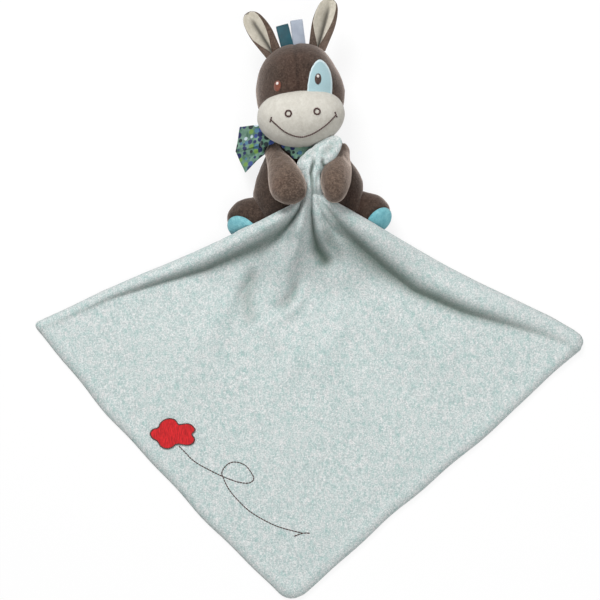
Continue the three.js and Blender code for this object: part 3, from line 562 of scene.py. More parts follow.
def over_toy(places):
    """The height that keeps the cloth off the belly, the thighs and the feet under it."""
    clearance = 2.2
    height = np.zeros(len(places))
    # the two feet, the two thighs and the belly
    for centre, radii in (
        ((-55.5, -31, 18), (15.5, 15.5, 15.5)), ((57.5, -25.5, 18), (15.5, 15.5, 15.5)),
        ((-35, -22.5, 18.5), (15, 15, 15)), ((36.5, -18, 18.5), (15, 15, 15)), ((0, -13, 23), (49, 38, 23.5)),
    ):
        grown = np.array(radii) + clearance
        inside = 1 - ((places[:, 0] - centre[0]) / grown[0]) ** 2 - ((places[:, 1] - centre[1]) / grown[1]) ** 2
        height = np.maximum(height, np.where(inside > 0, centre[2] + grown[2] * np.sqrt(np.maximum(inside, 0)), 0))
    return height


def from_rim(places, rim):
    """How far each place is from the nearest of the rim's points."""
    parts = [np.linalg.norm(some[:, None] - rim[None], axis=2).min(1) for some in np.array_split(places, 40)]
    return np.concatenate(parts)


def cloth_height(places, across, far):
    """Height of the underside of the top layer, and how much painted shade each place gets deep in a fold."""
    reach = 88 + 58 * (2 * across - 1) ** 2
    tent = lay + (hold_height - lay) * (1 - ease(far, 0, reach))
    under = over_toy(places)
    inward = from_rim(places, places[(across < 0.0001) | (across > 0.9999)])
    # how wide the two rolled sides are, by distance from the hold
    left_wide = np.interp(far, (0, 20, 40, 62, 110, 140, 190, 260), (2, 7, 12.5, 16, 17, 14, 9, 7))
    right_wide = np.interp(far, (0, 20, 40, 62, 90, 120, 165, 210, 260), (2, 7.5, 15.5, 21, 27, 32, 29, 21, 13))
    wide = np.where(across > 0.5, right_wide, left_wide)
    part = inward / wide
    rolled = np.minimum(roll_height, 0.46 * wide + 1) * ease(far, -4, 22) * (1 - 0.75 * ease(far, 140, 260))
    height = tent + rolled * np.maximum(0, np.sin(math.pi * np.clip(part, 0, 1) ** 1.15)) ** 0.85
    spread = np.where(part > 0.95, 0.2 + 0.3 * (1 - ease(far, 55, 120)), 0.2)
    # painted shade along the lower flank of each rolled side
    deep = 0.9 * rolled / roll_height * bell(part - 0.95, spread)
    lift = np.where(under > 0, under + np.where(far < 30, 0, 0.6), -9)
    height = (height + lift + np.sqrt((height - lift) ** 2 + 9)) / 2
    for line in ripples:
        best, values = along_line(places, line)
        near = bell(best, values[:, 1])
        height = height + values[:, 0] * near
        # painted shade in the deeper dips
        deep = np.maximum(deep, np.clip((-values[:, 0] - 1.4) / 6, 0, 1) * near)
    waves = 0.8 * np.sin(places[:, 0] / 17 + np.sin(places[:, 1] / 29)) * np.sin(places[:, 1] / 23 + 1.7)
    return np.maximum(height + waves * ease(far, 90, 160), lay), deep


def rounded_corner(places, corner, first, second, radius):
    """Moves the places near a square corner so that it is round."""
    one = (first - corner) / np.linalg.norm(first - corner)
    two = (second - corner) / np.linalg.norm(second - corner)
    basis = np.linalg.inv(np.column_stack([one, two]))
    local = (places - corner) @ basis.T / radius
    near = (local[:, 0] < 1) & (local[:, 1] < 1)
    away = 1 - np.clip(local, 0, 1)
    most, length = away.max(1), np.maximum(np.linalg.norm(away, axis=1), 1e-9)
    moved = corner + (1 - away * (most / length)[:, None]) * radius @ np.column_stack([one, two]).T
    return np.where(near[:, None], moved, places)


def new_grid(name, columns, rows):
    """A flat grid, and how far each of its points is across it and along it, from 0 to 1."""
    grid = new_piece(name, bpy.ops.mesh.primitive_grid_add, x_subdivisions=columns, y_subdivisions=rows, size=2)
    start = unit_points(grid)
    return grid, (start[:, 0] + 1) / 2, (start[:, 1] + 1) / 2


def blanket_sheet(name, rows, columns, first_gap):
    """A fan of cloth from the hold to the hem, with its place in the fan kept for each point."""
    sheet, across, out = new_grid(name, columns, rows)
    out = np.where(out < 0.93, out / 0.93 * 0.965, 0.965 + (out - 0.93) / 0.07 * 0.035) ** 1.25
    rim = np.where((across < 0.5)[:, None], left_corner + (low_corner - left_corner) * 2 * across[:, None],
                   low_corner + (right_corner - low_corner) * (2 * across[:, None] - 1))
    wave = 0.7 * np.sin(across * 31) + 0.5 * np.sin(across * 67 + 1)
    outward = rim - hold
    length = np.linalg.norm(outward, axis=1, keepdims=True)
    bow = 5 * np.abs(np.sin(2 * math.pi * across)) * (1 - 0.9 * (across > 0.5)) + 3 * bell(across - 0.845, 0.045)
    rim = rim - outward / length * (wave - 0.6 - bow)[:, None]
    begin = hold + outward / length * first_gap
    places = begin + (rim - begin) * out[:, None]
    away = np.linalg.norm(places - hold, axis=1)
    # how far the two upper edges leave a straight line
    left_bow = np.interp(away, (0, 20, 50, 88, 125, 163, 200, 233, 266), (0, -5, -4.2, -2.6, -0.6, 0.9, 1.5, 0.2, 0))
    right_bow = np.interp(away, (0, 20, 55, 92, 128, 163, 200, 234, 268), (0, 0.4, 0.9, 1, 0.8, 0.6, 1.6, 2.4, 0))
    places[:, 1] += np.abs(2 * across - 1) ** 6 * np.where(across < 0.5, left_bow, right_bow)
    places = rounded_corner(places, low_corner, left_corner, right_corner, 13)
    places = rounded_corner(places, right_corner, low_corner, hold, 12)
    places = rounded_corner(places, left_corner, low_corner, hold, 5)
    return sheet, places, across, out


front, places, across, out = blanket_sheet("blanket_face", rows=124, columns=340, first_gap=3)
edge_drop, edge_radius, face_lift, hem_swell = 4.5, 8, 2.9, 0.9
far = np.linalg.norm(places - hold, axis=1)
near_side = from_rim(places, places[(across < 0.0001) | (across > 0.9999)])
edge = np.minimum(near_side, from_rim(places, places[out > 0.9999]))
ruck = 0.5 * np.sin(places[:, 0] / 3.1 + 2 * np.sin(places[:, 1] / 7)) * bell(edge, 9)
top, deep = cloth_height(places, across, far)
top = top + face_lift + (hem_swell + ruck) * bell(edge - 6, 5)
drop = np.minimum(top - 1.4, edge_drop) * ease(far, 8, 24)
round_off = 1 - np.sqrt(1 - (1 - np.clip(edge / edge_radius, 0, 1)) ** 2)
move_points(front, np.column_stack([places, top - drop * round_off]))
# painted shade in the folds, which the fleece reads as a darker grey-green
paint(front, "seam_and_fold_shade", deep)
finished(front, "SMOOTH", factor=0.5, iterations=2)
finished(front, "SOLIDIFY", thickness=face_thickness * mm, offset=-1)
shade_round(front)

# heathered: a pale ground, with mint and grey flecks drawn out the way the cloth was knitted
heather_fleece, tree, shader, place = new_cloth("heather_fleece")
knitted_way = (0, 0, math.radians(38))
turned = add_node(tree, "Mapping", Vector=place, Rotation=knitted_way, Scale=(1, 0.45, 1)).outputs[0]
clouds = noise(tree, place, 150, 4, 0.6)
flecks = noise(tree, turned, 420, 3, 0.7, 0.6)
grains = noise(tree, place, 820, 2, 0.8)
both = blend_values(tree, 0.55, clouds, flecks)
mint = tones(tree, both, (0.36, (154, 184, 180)), (0.48, (184, 198, 196)), (0.63, (206, 208, 207)))
flecked = blend(tree, read_between(tree, grains, 0.5, 0.66, 0.7), mint, colour(150, 162, 164))
lit = blend(tree, read_between(tree, grains, 0.48, 0.3, 0.75), flecked, colour(238, 234, 234))
# painted shade: grey-green where the folds are painted deep
dark = add_node(tree, "Math", {"operation": "MULTIPLY"}, i0=painted(tree, "seam_and_fold_shade"), i1=0.9).outputs[0]
shaded = blend(tree, dark, lit, colour(70, 88, 77))
fine = bump(tree, grains, 0.6, 0.6, Normal=bump(tree, flecks, 0.35, 0.8))
complete(tree, shader, shaded, fine, Roughness=1, Specular_IOR_Level=0.1, Sheen_Weight=0.15, Sheen_Roughness=0.6)
front.data.materials.append(heather_fleece)

lining, places, across, out = blanket_sheet("blanket_lining", rows=60, columns=170, first_gap=30)
middle = (left_corner + low_corner + right_corner + hold) / 4
places = middle + (places - middle) * 0.985
height = cloth_height(places, across, np.linalg.norm(places - hold, axis=1))[0]
rim = places[(across < 0.0001) | (across > 0.9999) | (out > 0.9999)]
height = height - 1.2 * (1 - ease(from_rim(places, rim), 0, 5))
move_points(lining, np.column_stack([places, np.maximum(height - 1.5, 0.05)]))
finished(lining, "SOLIDIFY", thickness=lining_thickness * mm, offset=1)
shade_round(lining)
lining.data.materials.append(heather_fleece)
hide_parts("blanket_back")
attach(lining, "body")

# Gathered corner
# The corner of the blanket comes out between the paws as a soft bunch of folds, and falls over the chest.
# It is the same fleece, and one piece with the face.
tuft_outline = np.array([
    (3.5, -27), (-1.5, -24), (-2.2, -16.5), (-1.4, -9.8), (-3.6, -3.4), (-5.8, 1.8), (-8.8, 5.2), (-9.7, 9),
    (-7.4, 13.2), (-3.6, 16.7), (3.1, 22.3), (9, 27.4), (15.5, 31.2), (20.5, 33), (24.5, 32.6), (27.6, 30.4),
    (28.8, 27), (28, 22.6), (26.2, 18.6), (23.6, 14.2), (20.4, 10), (17, 6.8), (13.8, 4.6), (12.4, 1.6),
    (10.2, -0.6), (10.4, -4), (11.6, -10), (12.4, -15), (10.5, -24),
])
# folds in the bunch: points along the line, height, width; the dips are also painted in shade
tuft_folds = (
    ((3, -27, -2, 1.2), (3.6, -14, -2.6, 1.2), (3, -6, -3.2, 1.2), (2, -1, -3.6, 1.2), (3.2, 4.5, -3.6, 1.2),
     (4.4, 8.5, -3, 1.3), (4.2, 12.5, -1.2, 1.6)),
    ((7.4, -24, -1, 1), (7, -14, -1.6, 1), (7, -6, -1.4, 1.1), (8.4, -1, -0.6, 1.2)),
    ((12.4, 12.2, -1, 1.5), (12, 9, -3.4, 1.3), (13.2, 6.4, -4, 1.2), (16, 5.4, -3, 1.4)),
    ((8.6, 8, 1.8, 2.6), (9.8, 4.4, 1.6, 2.4)),
    ((9.5, 13.6, 1.4, 2.2), (13, 13, 1, 2)),
    ((13, 17, -1.4, 3), (18, 21, -1.8, 3.4), (21, 26, -0.8, 3.6)),
    ((-4, 9, 1.2, 3), (-1, 3, 1.2, 2.4), (0.5, -4, 0.8, 2)),
    ((-6, 13, -0.8, 2), (0, 15.5, -1.2, 2.4), (6, 20, -0.8, 2.6)),
)
tuft, ball = new_ball("gathered_corner", 160, 110)
tuft_middle = np.array([3.4, 5.5])
tuft_height, top_thick, under_thick = 57.5, 6.5, 5
turn = np.arctan2(ball[:, 1], ball[:, 0])
share = np.linalg.norm(ball[:, :2], axis=1)
rim = tuft_outline - tuft_middle
rim_turn = np.mod(np.unwrap(np.arctan2(rim[:, 1], rim[:, 0])), 2 * math.pi)
order = np.argsort(rim_turn)
known, length = rim_turn[order], np.linalg.norm(rim, axis=1)[order]
many = np.concatenate([known - 2 * math.pi, known, known + 2 * math.pi])
reach = np.interp(np.mod(turn, 2 * math.pi), many, np.tile(length, 3))
places = tuft_middle + np.column_stack([np.cos(turn), np.sin(turn)]) * (share * reach)[:, None]
thin = 1 - 0.35 * ease(-places[:, 1], 5, 25)
height = np.where(ball[:, 2] > 0, top_thick, under_thick) * ball[:, 2] * thin
# painted shade in the dips of the bunch
dark = np.zeros(len(places))
for line in tuft_folds:
    best, values = along_line(places, line)
    near = bell(best, values[:, 1])
    height = height + np.where(ball[:, 2] > 0.05, 1, 0) * values[:, 0] * near * ball[:, 2].clip(0, 1) ** 0.3
    dark = np.maximum(dark, -values[:, 0] / 4 * near)
paint(tuft, "seam_and_fold_shade", dark)
sunk = 12 * ease(-places[:, 1], 10, 26)
move_points(tuft, np.column_stack([places, tuft_height - sunk + height]))
finished(tuft, "SMOOTH", factor=0.5, iterations=3)
shade_round(tuft)
tuft.data.materials.append(heather_fleece)
joined([front, tuft])
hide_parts("blanket_front")
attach(front, "body")

# Felt flower and its stem
# A red flower with five round petals is sewn near the lower left hem, edged with dark thread. A stem of dark
# running stitch winds from it in one loop, and ends in a small fork.
def drop_on(ground):
    """For places in plan, the height of the first of the pieces met from above."""
    bpy.context.view_layer.update()
    trees = [BVHTree.FromObject(piece, bpy.context.evaluated_depsgraph_get()) for piece in ground]

    def height(x, y):
        hits = [tree.ray_cast(Vector((x * mm, y * mm, 0.2)), Vector((0, 0, -1)))[0] for tree in trees]
        return max(hit.z for hit in hits if hit is not None) / mm if any(hits) else 0
    return height


def smooth_read(at, known, values):
    """Reads a rounded curve through the known values."""
    at = np.asarray(at)
    index = np.clip(np.searchsorted(known, at) - 1, 1, len(known) - 3)
    before, low, high, after = (values[index + k] for k in (-1, 0, 1, 2))
    part = (at - known[index]) / (known[index + 1] - known[index])
    return 0.5 * (2 * low + (high - before) * part + (2 * before - 5 * low + 4 * high - after) * part ** 2
                  + (3 * low - before - 3 * high + after) * part ** 3)


def sewn_patch(name, centre, outline, thickness, ground, lift=0.1, segments=96, rings=24, fall=0.35):
    """A thin cloth shape laid on the pieces below it, its edge turned down; "edge" keeps how near the rim it is."""
    patch, ball = new_ball(name, segments, rings)
    tilt = np.arcsin(np.clip(ball[:, 2], -1, 1))
    share = 1 - np.abs(tilt) / (math.pi / 2)
    share = np.where(share > 0.55, 0.86 + (share - 0.55) / 0.45 * 0.14, share / 0.55 * 0.86)
    turn = np.arctan2(ball[:, 1], ball[:, 0])
    rim = np.subtract(outline, centre)
    rim_turn = np.unwrap(np.arctan2(rim[:, 1], rim[:, 0]))
    if rim_turn[-1] < rim_turn[0]:
        rim, rim_turn = rim[::-1], rim_turn[::-1]
    rim_turn = rim_turn - 2 * math.pi * np.round(rim_turn[0] / (2 * math.pi))
    many = np.concatenate([rim_turn - 2 * math.pi, rim_turn, rim_turn + 2 * math.pi])
    reach = smooth_read(turn, many, np.tile(np.linalg.norm(rim, axis=1), 3))
    places = np.array(centre) + np.column_stack([np.cos(turn), np.sin(turn)]) * (share * reach)[:, None]
    height_at = drop_on(ground)
    base = np.array([height_at(x, y) for x, y in places])
    turned_down = np.sqrt(np.maximum(0, 1 - np.clip((share - 0.9) / 0.1, 0, 1) ** 2))
    top = thickness * (1 - fall * share ** 3) * turned_down
    height = base + lift + np.where(ball[:, 2] >= 0, top, 0)
    move_points(patch, np.column_stack([places, height]))
    paint(patch, "edge", share)
    shade_round(patch)
    return patch


def even_steps(path, step):
    """Points one step apart on a rounded line through the given ones."""
    path = np.array(path, float)
    far = np.concatenate([[0], np.cumsum(np.linalg.norm(np.diff(path, axis=0), axis=1))])
    known = np.concatenate([[far[0] - 1], far, [far[-1] + 1]])
    padded = np.vstack([path[0], path, path[-1]])
    fine = np.linspace(0, far[-1], 600)
    line = np.column_stack([smooth_read(fine, known, padded[:, k]) for k in (0, 1)])
    run = np.concatenate([[0], np.cumsum(np.linalg.norm(np.diff(line, axis=0), axis=1))])
    stops = np.linspace(0, run[-1], max(1, round(run[-1] / step)) + 1)
    return np.column_stack([np.interp(stops, run, line[:, k]) for k in (0, 1)])


def faces_out(piece):
    """Turns all faces outward, and shades them smooth."""
    only(piece)
    bpy.ops.object.mode_set(mode="EDIT")
    bpy.ops.mesh.select_all(action="SELECT")
    bpy.ops.mesh.normals_make_consistent(inside=False)
    bpy.ops.object.mode_set(mode="OBJECT")
    bpy.ops.object.shade_smooth()


def stitched(name, lines, step, gap, thickness, ground, lift=0.0):
    """Rows of single stitches: each goes down into the cloth at both ends and stands up a little in the middle."""
    height_at = drop_on(ground)
    first, shape = new_ball("stitch", 8, 7)
    stitches = []
    for line in lines:
        stops = even_steps(line, step)
        for start, end in zip(stops[:-1], stops[1:]):
            run = end - start
            long = max(np.linalg.norm(run) - gap, 0.3) / 2
            angle = math.atan2(run[1], run[0])
            middle = (start + end) / 2
            low, high = height_at(*start), height_at(*end)
            slope = (high - low) / max(np.linalg.norm(run), 1e-6)
            x = shape[:, 2] * long
            y = shape[:, 0] * thickness
            z = shape[:, 1] * thickness * 0.8 + thickness * (0.55 - 0.7 * shape[:, 2] ** 2) + x * slope
            stitch = first.copy()
            stitch.data = first.data.copy()
            scene.collection.objects.link(stitch)
            move_points(stitch, np.column_stack([
                middle[0] + x * math.cos(angle) - y * math.sin(angle),
                middle[1] + x * math.sin(angle) + y * math.cos(angle),
                max((low + high) / 2, height_at(*middle)) + z + lift,
            ]))
            stitches.append(stitch)
    bpy.data.objects.remove(first)
    row = joined(stitches)
    row.name = name
    faces_out(row)
    return row


def thread(name, kind, dark, light, scale, distortion, detail, strength, roughness):
    """Embroidery thread, twisted or laid side by side."""
    material, tree, shader, place = new_cloth(name)
    rows = add_node(tree, "TexWave", {"bands_direction": kind}, Vector=place, Scale=scale, Distortion=distortion,
                    Detail=detail).outputs["Fac"]
    normal = bump(tree, rows, strength, 0.2)
    complete(tree, shader, tones(tree, rows, (0, dark), (1, light)), normal, Roughness=roughness, Sheen_Weight=0.2)
    return material


flower_outline = (
    (-136.7, -217.8), (-134.6, -214), (-129.5, -212.4), (-127.8, -208.6), (-123.9, -205.4), (-118.7, -204.3),
    (-114.3, -205.8), (-111.6, -209.6), (-107.4, -209.2), (-102.4, -209), (-98.4, -211.6), (-97, -215),
    (-100, -218.4), (-97.4, -221.6), (-98.4, -225.8), (-103, -227.8), (-108, -227.2), (-113.3, -226.9),
    (-117, -229.6), (-122, -230.8), (-127.3, -228.6), (-130, -224.3), (-134.6, -221.6),
)
flower_middle = (-117, -217.8)
flower = sewn_patch("flower", flower_middle, flower_outline, thickness=1.3, ground=[front], lift=0.15)
felt, tree, shader, place = new_cloth("red_felt")
combed = add_node(tree, "Mapping", Vector=place, Rotation=(0, 0, math.radians(35)), Scale=(1, 0.2, 1)).outputs[0]
fibres = noise(tree, combed, 900, 3, 0.7)
tone = tones(tree, fibres, (0.3, (150, 14, 20)), (0.7, (222, 34, 40)))
complete(tree, shader, tone, bump(tree, fibres, 0.7, 0.4), Roughness=0.95, Sheen_Weight=0.2)
flower.data.materials.append(felt)
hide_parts("flower_patch")
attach(flower, "body")

dark_thread = thread("dark_thread", "DIAGONAL", (44, 24, 22), (84, 52, 46),
                     scale=900, distortion=2.5, detail=2, strength=0.5, roughness=0.6)
edge_line = [tuple(0.972 * place + 0.028 * np.array(flower_middle)) for place in np.array(flower_outline)]
edging = stitched("flower_edging", [edge_line + edge_line[:1]], step=1.7, gap=-0.1, thickness=0.55,
                  ground=[front, flower], lift=0.05)
edging.data.materials.append(dark_thread)
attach(edging, "body")
stem_line = (
    (-111.5, -228), (-106.3, -233.3), (-98.5, -241), (-88.1, -247.1), (-74.3, -253.9), (-60.4, -259),
    (-51, -259.9), (-46.7, -256.5), (-49.3, -250.5), (-54.5, -244.5), (-62.2, -241.9), (-69.1, -243.6),
    (-74.3, -250.5), (-72.5, -256.5), (-68.2, -265), (-60.4, -274.4), (-49.1, -284.7), (-32.8, -294),
    (-21.6, -298.3), (-4.4, -302.5),
)
stem_fork = ((-12.2, -305.1), (-4.4, -302.5), (1.6, -302.5))
stem = stitched("flower_stem", [stem_line, stem_fork], step=2.6, gap=-0.2, thickness=0.5, ground=[front])
stem.data.materials.append(dark_thread)
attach(stem, "body")

# Face
# A pale blue arch is sewn over one side of the face. The eyes are ovals of satin stitch with a white glint, the
# nostrils stitched rings, and the smile one stitched line with a short stitch across each end.
patch_outline = (
    (-1.2, 58), (-1.2, 64), (-0.8, 70), (-0.2, 76), (0.6, 81), (2, 86), (4.2, 91), (7, 95.2), (10, 97.2),
    (13.2, 96), (16.2, 92.6), (18.4, 88), (19.8, 82.4), (20.4, 76), (20.2, 70), (19.6, 64), (19.2, 58), (14, 57),
    (10, 57), (5, 57),
)
patch = sewn_patch("eye_arch", (10, 77), patch_outline, thickness=1.0, ground=[crown], lift=0.1, fall=0.1)
arch_cloth, tree, shader, place = new_cloth("arch_cloth")
weave = noise(tree, place, 1300, 2)
ground = tones(tree, weave, (0, (140, 172, 179)), (1, (168, 195, 200)))
satin = add_node(tree, "TexWave", {"bands_direction": "Y"}, Vector=place, Scale=420, Distortion=0.6).outputs["Fac"]
near_rim = read_between(tree, painted(tree, "edge"), 0.86, 0.9, 0.8)
pale = blend(tree, satin, colour(190, 212, 218), colour(226, 238, 240))
raised = bump(tree, blend_values(tree, near_rim, weave, satin), 0.6, 0.3)
complete(tree, shader, blend(tree, near_rim, ground, pale), raised, Roughness=0.9, Sheen_Weight=0.2)
patch.data.materials.append(arch_cloth)
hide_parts("eye_patch")
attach(patch, "head")


def oval(centre, half_wide, half_high):
    """The outline of an oval that leans with the head."""
    angles = [2 * math.pi * k / 24 for k in range(24)]
    c, s = math.cos(head_lean), -math.sin(head_lean)
    return [(centre[0] + half_wide * math.cos(a) * c - half_high * math.sin(a) * s,
             centre[1] + half_wide * math.cos(a) * s + half_high * math.sin(a) * c) for a in angles]


dark_satin, rust_satin, glint_satin = (
    thread(name, "Y", dark, light, scale=560, distortion=0.8, detail=1, strength=0.8, roughness=0.45)
    for name, dark, light in (
        ("dark_satin", (40, 26, 22), (84, 58, 48)), ("rust_satin", (92, 42, 26), (140, 72, 46)),
        ("glint_satin", (214, 200, 192), (244, 240, 236)),
    )
)
for side, centre, half, ground, finish, slot in (
    ("left", (8.2, 78.6), (2.8, 4.9), [patch, crown], dark_satin, "dark_thread"),
    ("right", (-26.1, 73.2), (3, 4.6), [crown], rust_satin, "rust_thread"),
):
    outline = oval(centre, *half)
    eye = sewn_patch(side + "_eye_oval", centre, outline, 1.1, ground, lift=0.05, segments=40, rings=20, fall=0.6)
    eye.data.materials.append(finish)
    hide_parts(side + "_eye")
    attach(eye, "head")
    spot = (centre[0] - 0.1, centre[1] + half[1] * 0.42)
    outline = oval(spot, 1.1, 1.35)
    glint = sewn_patch(side + "_eye_glint", spot, outline, 0.45, [eye], lift=0.02, segments=24, rings=12)
    glint.data.materials.append(glint_satin)
    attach(glint, "head")

nostril_radius, thread_radius = 2.45, 0.72
for side, centre in (("right", (-16.7, 47.1)), ("left", (7.2, 49))):
    ring = new_piece(side + "_nostril_ring", bpy.ops.mesh.primitive_torus_add, major_segments=96, minor_segments=12,
                     major_radius=nostril_radius, minor_radius=thread_radius)
    shape = unit_points(ring)
    turn = np.arctan2(shape[:, 1], shape[:, 0])
    from_middle = np.linalg.norm(shape[:, :2], axis=1) - nostril_radius
    swell = 1 + 0.12 * np.cos(32 * turn)
    height_at = drop_on([muzzle])
    x = centre[0] + np.cos(turn) * (nostril_radius + from_middle * swell)
    y = centre[1] + np.sin(turn) * (nostril_radius + from_middle * swell)
    on_ring = zip(centre[0] + nostril_radius * np.cos(turn), centre[1] + nostril_radius * np.sin(turn))
    z = np.array([height_at(*place) for place in on_ring])
    move_points(ring, np.column_stack([x, y, z + 0.25 + shape[:, 2] * swell]))
    shade_round(ring)
    ring.data.materials.append(dark_thread)
    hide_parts(side + "_nostril")
    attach(ring, "head")

smile_line = (
    (-31.6, 43.4), (-26, 38), (-19.5, 33), (-12.5, 30.1), (-5.5, 29.2), (1.5, 30.8), (9, 34.6), (16.5, 40.3),
    (23.4, 48),
)
smile_ends = [((-30.8, 45.4), (-32.2, 41.2)), ((22.2, 50.2), (24.2, 46.2))]
smile = stitched("smile_line", [smile_line, *smile_ends], step=1.7, gap=-0.25, thickness=thread_radius,
                 ground=[muzzle])
smile.data.materials.append(dark_thread)
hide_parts("smile")
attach(smile, "head")

# Ears
# Each ear is a brown velour back and a cream front sewn together round the edge and turned, folded lengthwise
# and caught in the head seam, so that the brown wraps both sides at the base.
ear_half_width, fold_at = 10, 0.08
# share of the length, and the share of the full width there
ear_shares = ((0, 0.74), (0.2, 0.86), (0.45, 1), (0.65, 0.98), (0.82, 0.84), (0.92, 0.62), (0.98, 0.3), (1, 0.06))
cream_right_shares = ((0, 0.02), (0.12, 0.1), (0.3, 0.38), (0.55, 0.62), (0.8, 0.78), (1, 0.92))
cream_left_shares = ((0, 0.02), (0.12, 0.16), (0.28, 0.6), (0.45, 0.92), (0.7, 0.98), (1, 0.99))


def ear_layer(name, base, tip, low, high, cream):
    """One layer of an ear between two heights above its folded middle surface."""
    layer, ball = new_ball(name, 64, 48)
    along = 0.5 + np.arcsin(np.clip(ball[:, 2], -1, 1)) / math.pi
    along = np.where(cream, 0.05 + 0.93 * along, along)
    turn = np.arctan2(ball[:, 1], ball[:, 0])
    known = np.array([-0.1, *[at for at, _ in ear_shares], 1.1])
    shares = np.array([ear_shares[0][1], *[share for _, share in ear_shares], 0])
    whole = ear_half_width * smooth_read(along, known, shares)
    side = np.cos(turn)
    side = np.sign(side) * np.abs(side) ** 0.7
    if cream:
        right, left = (np.interp(along, *zip(*shares)) for shares in (cream_right_shares, cream_left_shares))
        side = side * np.where(side > 0, right, left)
    base, tip = np.array(base), np.array(tip)
    heading = tip - base
    across = np.array([heading[1], -heading[0], 0]) / np.linalg.norm(heading[:2])
    front_way = np.cross(across, heading / np.linalg.norm(heading))
    fold = (6.5 + 4 * (1 - along) ** 1.2) * (np.abs(side - fold_at) ** 0.9) * whole / 10
    layer_height = np.where(np.sin(turn) > 0, high, low) * np.abs(np.sin(turn)) ** 0.35
    move_points(layer, base + heading * along[:, None] + across * (whole * side)[:, None]
                + front_way * (fold + layer_height)[:, None])
    finished(layer, "SMOOTH", factor=0.4, iterations=2)
    faces_out(layer)
    # painted shade in the crease of the fold, on the cream front only
    crease = bell(side - fold_at, np.where(side > fold_at, 0.11, 0.3)) * (1 - ease(along, 0.7, 0.94)) * cream
    paint(layer, "seam_and_fold_shade", crease)
    return layer


# the cream lining takes the painted crease shade at full strength
ear_cream = velour("ear_cream", (176, 170, 155), (206, 200, 187), (190, 183, 168),
                   sheen=0.2, shade_in_seams_and_folds=1.0, flecks=0.15)
for side, base, tip in (("right", (-29.3, 107, 35), (-53, 145, 40)), ("left", (7.6, 112, 35), (20, 157.5, 40))):
    back = ear_layer(side + "_ear_back", base, tip, low=-1.5, high=0.2, cream=False)
    back.data.materials.append(brown_velour)
    inner = ear_layer(side + "_ear_front", base, tip, low=0.3, high=1.3, cream=True)
    inner.data.materials.append(ear_cream)
    for piece, node, slot, area in (
        (back, "_ear_outer", "brown_velour", 0.0009), (inner, "_ear_lining", "cream_velour", 0.0006),
    ):
        carved(piece, crown)
        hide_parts(side + node)
        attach(piece, side + "_ear")

# Ribbon loops
# Two tag loops of satin ribbon, teal and lilac, are doubled back and caught in the top seam of the head.
# Each stands up as a narrow loop that a small finger can get hold of.
def satin_ribbon(name, dark, light):
    material, tree, shader, place = new_cloth(name)
    cross = add_node(tree, "TexWave", {"bands_direction": "Y"}, Vector=place, Scale=700, Distortion=0.5).outputs["Fac"]
    tone = tones(tree, blend_values(tree, 0.35, noise(tree, place, 90, 2), cross), (0.3, dark), (0.7, light))
    normal = bump(tree, cross, 0.4, 0.1)
    complete(tree, shader, tone, normal, Roughness=0.5, Specular_IOR_Level=0.25, Anisotropic=0.5)
    return material


ribbon_half_width, loop_radius, leg_part, sewn_in = 5.5, 4.0, 0.36, 5
for name, base, lean, rise, dark, light, slot in (
    ("teal", (-18, 116, 36), 14, 19.5, (14, 52, 62), (38, 94, 106), "teal_ribbon"),
    ("lilac", (-7.6, 117.6, 36), 7, 22, (132, 140, 154), (164, 172, 184), "lilac_ribbon"),
):
    loop, across, along = new_grid(name + "_tag_loop", 10, 48)
    across = 2 * across - 1
    angle = math.pi * np.clip((along - leg_part) / (1 - 2 * leg_part), 0, 1)
    leg_share = np.where(along < leg_part, along / leg_part,
                         np.where(along > 1 - leg_part, (1 - along) / leg_part, 1))
    reach = np.where(leg_share < 1, loop_radius * (0.62 + 0.38 * ease(leg_share, 0, 1)), loop_radius)
    bow_up = np.where(leg_share < 1, 0, loop_radius * np.sin(angle))
    up = -sewn_in + (rise - loop_radius + sewn_in) * leg_share + bow_up
    depth = np.where(leg_share < 1, np.where(along < 0.5, reach, -reach), loop_radius * np.cos(angle))
    depth = depth + 0.35 * (1 - across ** 2) * np.sign(0.5 - along)
    turn = math.radians(lean)
    x = across * ribbon_half_width * (1 - 0.03 * leg_share)
    move_points(loop, np.column_stack([
        base[0] + x * math.cos(turn) - up * math.sin(turn),
        base[1] + x * math.sin(turn) + up * math.cos(turn),
        base[2] + depth + 0.5 * across * leg_share,
    ]))
    finished(loop, "SOLIDIFY", thickness=0.55 * mm, offset=-1)
    finished(loop, "BEVEL", width=0.15 * mm, segments=2, limit_method="ANGLE")
    carved(loop, crown)
    only(loop)
    bpy.ops.object.shade_smooth_by_angle(angle=math.radians(40))
    loop.data.materials.append(satin_ribbon(name + "_satin", dark, light))
    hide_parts(name + "_ribbon_loop")
    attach(loop, "head")

# Neckerchief
# A triangle of printed cotton, rolled round the neck and tied at one side, with its two short tails falling to
# the table. The print is small round dots in several colours, scattered over a green ground.
cotton, tree, shader, place = new_cloth("printed_cotton")
flat_place = add_node(tree, "Mapping", Vector=place, Scale=(1, 1, 0.15)).outputs[0]
dots = add_node(tree, "TexVoronoi", {"feature": "F1"}, Vector=flat_place, Scale=215, Randomness=0.5)
pick = add_node(tree, "SeparateColor", Color=dots.outputs["Color"]).outputs[0]
palette = tones(
    tree, pick, (0, (22, 34, 84)), (0.36, (48, 70, 134)), (0.54, (14, 34, 38)), (0.74, (104, 142, 62)),
    (0.84, (188, 204, 212)), (0.9, (70, 112, 140)), interpolation="CONSTANT",
)
inside = read_between(tree, dots.outputs["Distance"], 0.54, 0.48)
ground = tones(tree, noise(tree, place, 160, 2), (0.35, (66, 106, 84)), (0.65, (112, 146, 130)))
weave = add_node(tree, "TexChecker", Vector=place, Scale=2600).outputs["Fac"]
woven = bump(tree, weave, 0.35, 0.12)
complete(tree, shader, blend(tree, inside, ground, palette), woven, Roughness=0.85, Sheen_Weight=0.1)

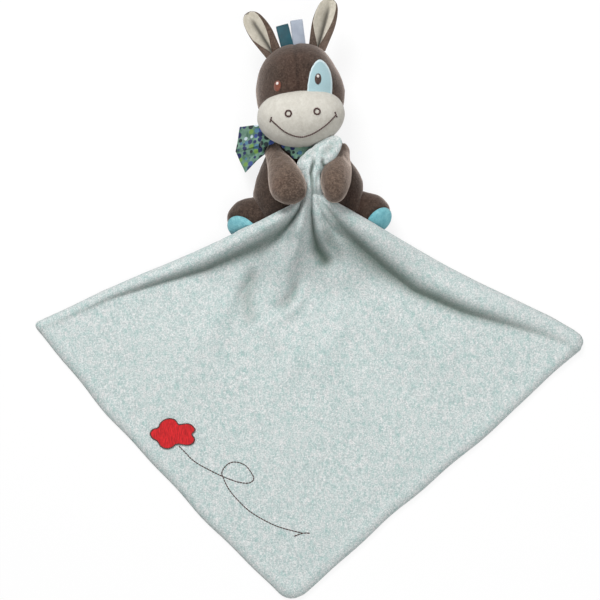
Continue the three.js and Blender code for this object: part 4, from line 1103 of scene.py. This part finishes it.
scarf = joined_copy("neckerchief", ["scarf_band", "scarf_knot"])
finished(scarf, "REMESH", mode="VOXEL", voxel_size=1.0 * mm)
finished(scarf, "SMOOTH", factor=0.5, iterations=6)
knot = np.array([-33, 31, 37])
points = points_of(scarf)
turn = np.arctan2(points[:, 2] - 25, points[:, 0] + 4)
pleat = 0.7 * np.abs(np.sin(points[:, 1] * 0.75 + 1.5 * np.sin(2 * turn) + points[:, 2] * 0.25)) - 0.4
knot_near = np.exp(-((np.linalg.norm(points - knot, axis=1) / 9) ** 4))
wrap = 1.2 * knot_near * (np.abs(np.sin((points[:, 0] * 0.8 - points[:, 1] * 0.5) * 0.7)) - 0.6)
points = points + (pleat * (1 - knot_near) + wrap)[:, None] * normals_of(scarf)
raised = ease(points[:, 2], 26, 42) * (1 - knot_near)
points[:, 2] += 5 * raised
points[:, 1] -= 2 * raised
move_points(scarf, points)
shade_round(scarf)
scarf.data.materials.append(cotton)
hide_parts("scarf_band", "scarf_knot")
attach(scarf, "body")

for side, corners, roots in (
    ("upper", ((-59.5, 49.4), (-63.2, 27.6)), ((-37, 46), (-31, 29.5))),
    ("lower", ((-54.4, 8.2), (-63, 27.8)), ((-34.6, 24), (-31, 30))),
):
    tail, along, across = new_grid(side + "_scarf_tail", 48, 48)
    root = np.array([roots[0]]) * (1 - across[:, None]) + np.array([roots[1]]) * across[:, None]
    rim = np.array([corners[0]]) * (1 - across[:, None]) + np.array([corners[1]]) * across[:, None]
    places = root + (rim - root) * along[:, None]
    fall = 22 * ease(-places[:, 0], 38, 66)
    wave = (1.6 * np.sin(2.4 * math.pi * across + 0.6) * (0.3 + 0.7 * along)
            + 0.7 * np.sin(6 * math.pi * across + 2 * along) * (1 - along))
    layer = 2.4 * (1 - along) - 0.6 if side == "upper" else -1.2
    move_points(tail, np.column_stack([places, 35 - fall + wave + layer]))
    finished(tail, "SOLIDIFY", thickness=0.7 * mm, offset=0)
    only(tail)
    bpy.ops.object.shade_smooth_by_angle(angle=math.radians(40))
    tail.data.materials.append(cotton)
    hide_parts("scarf_" + side + "_tail")
    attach(tail, side + "_tail")
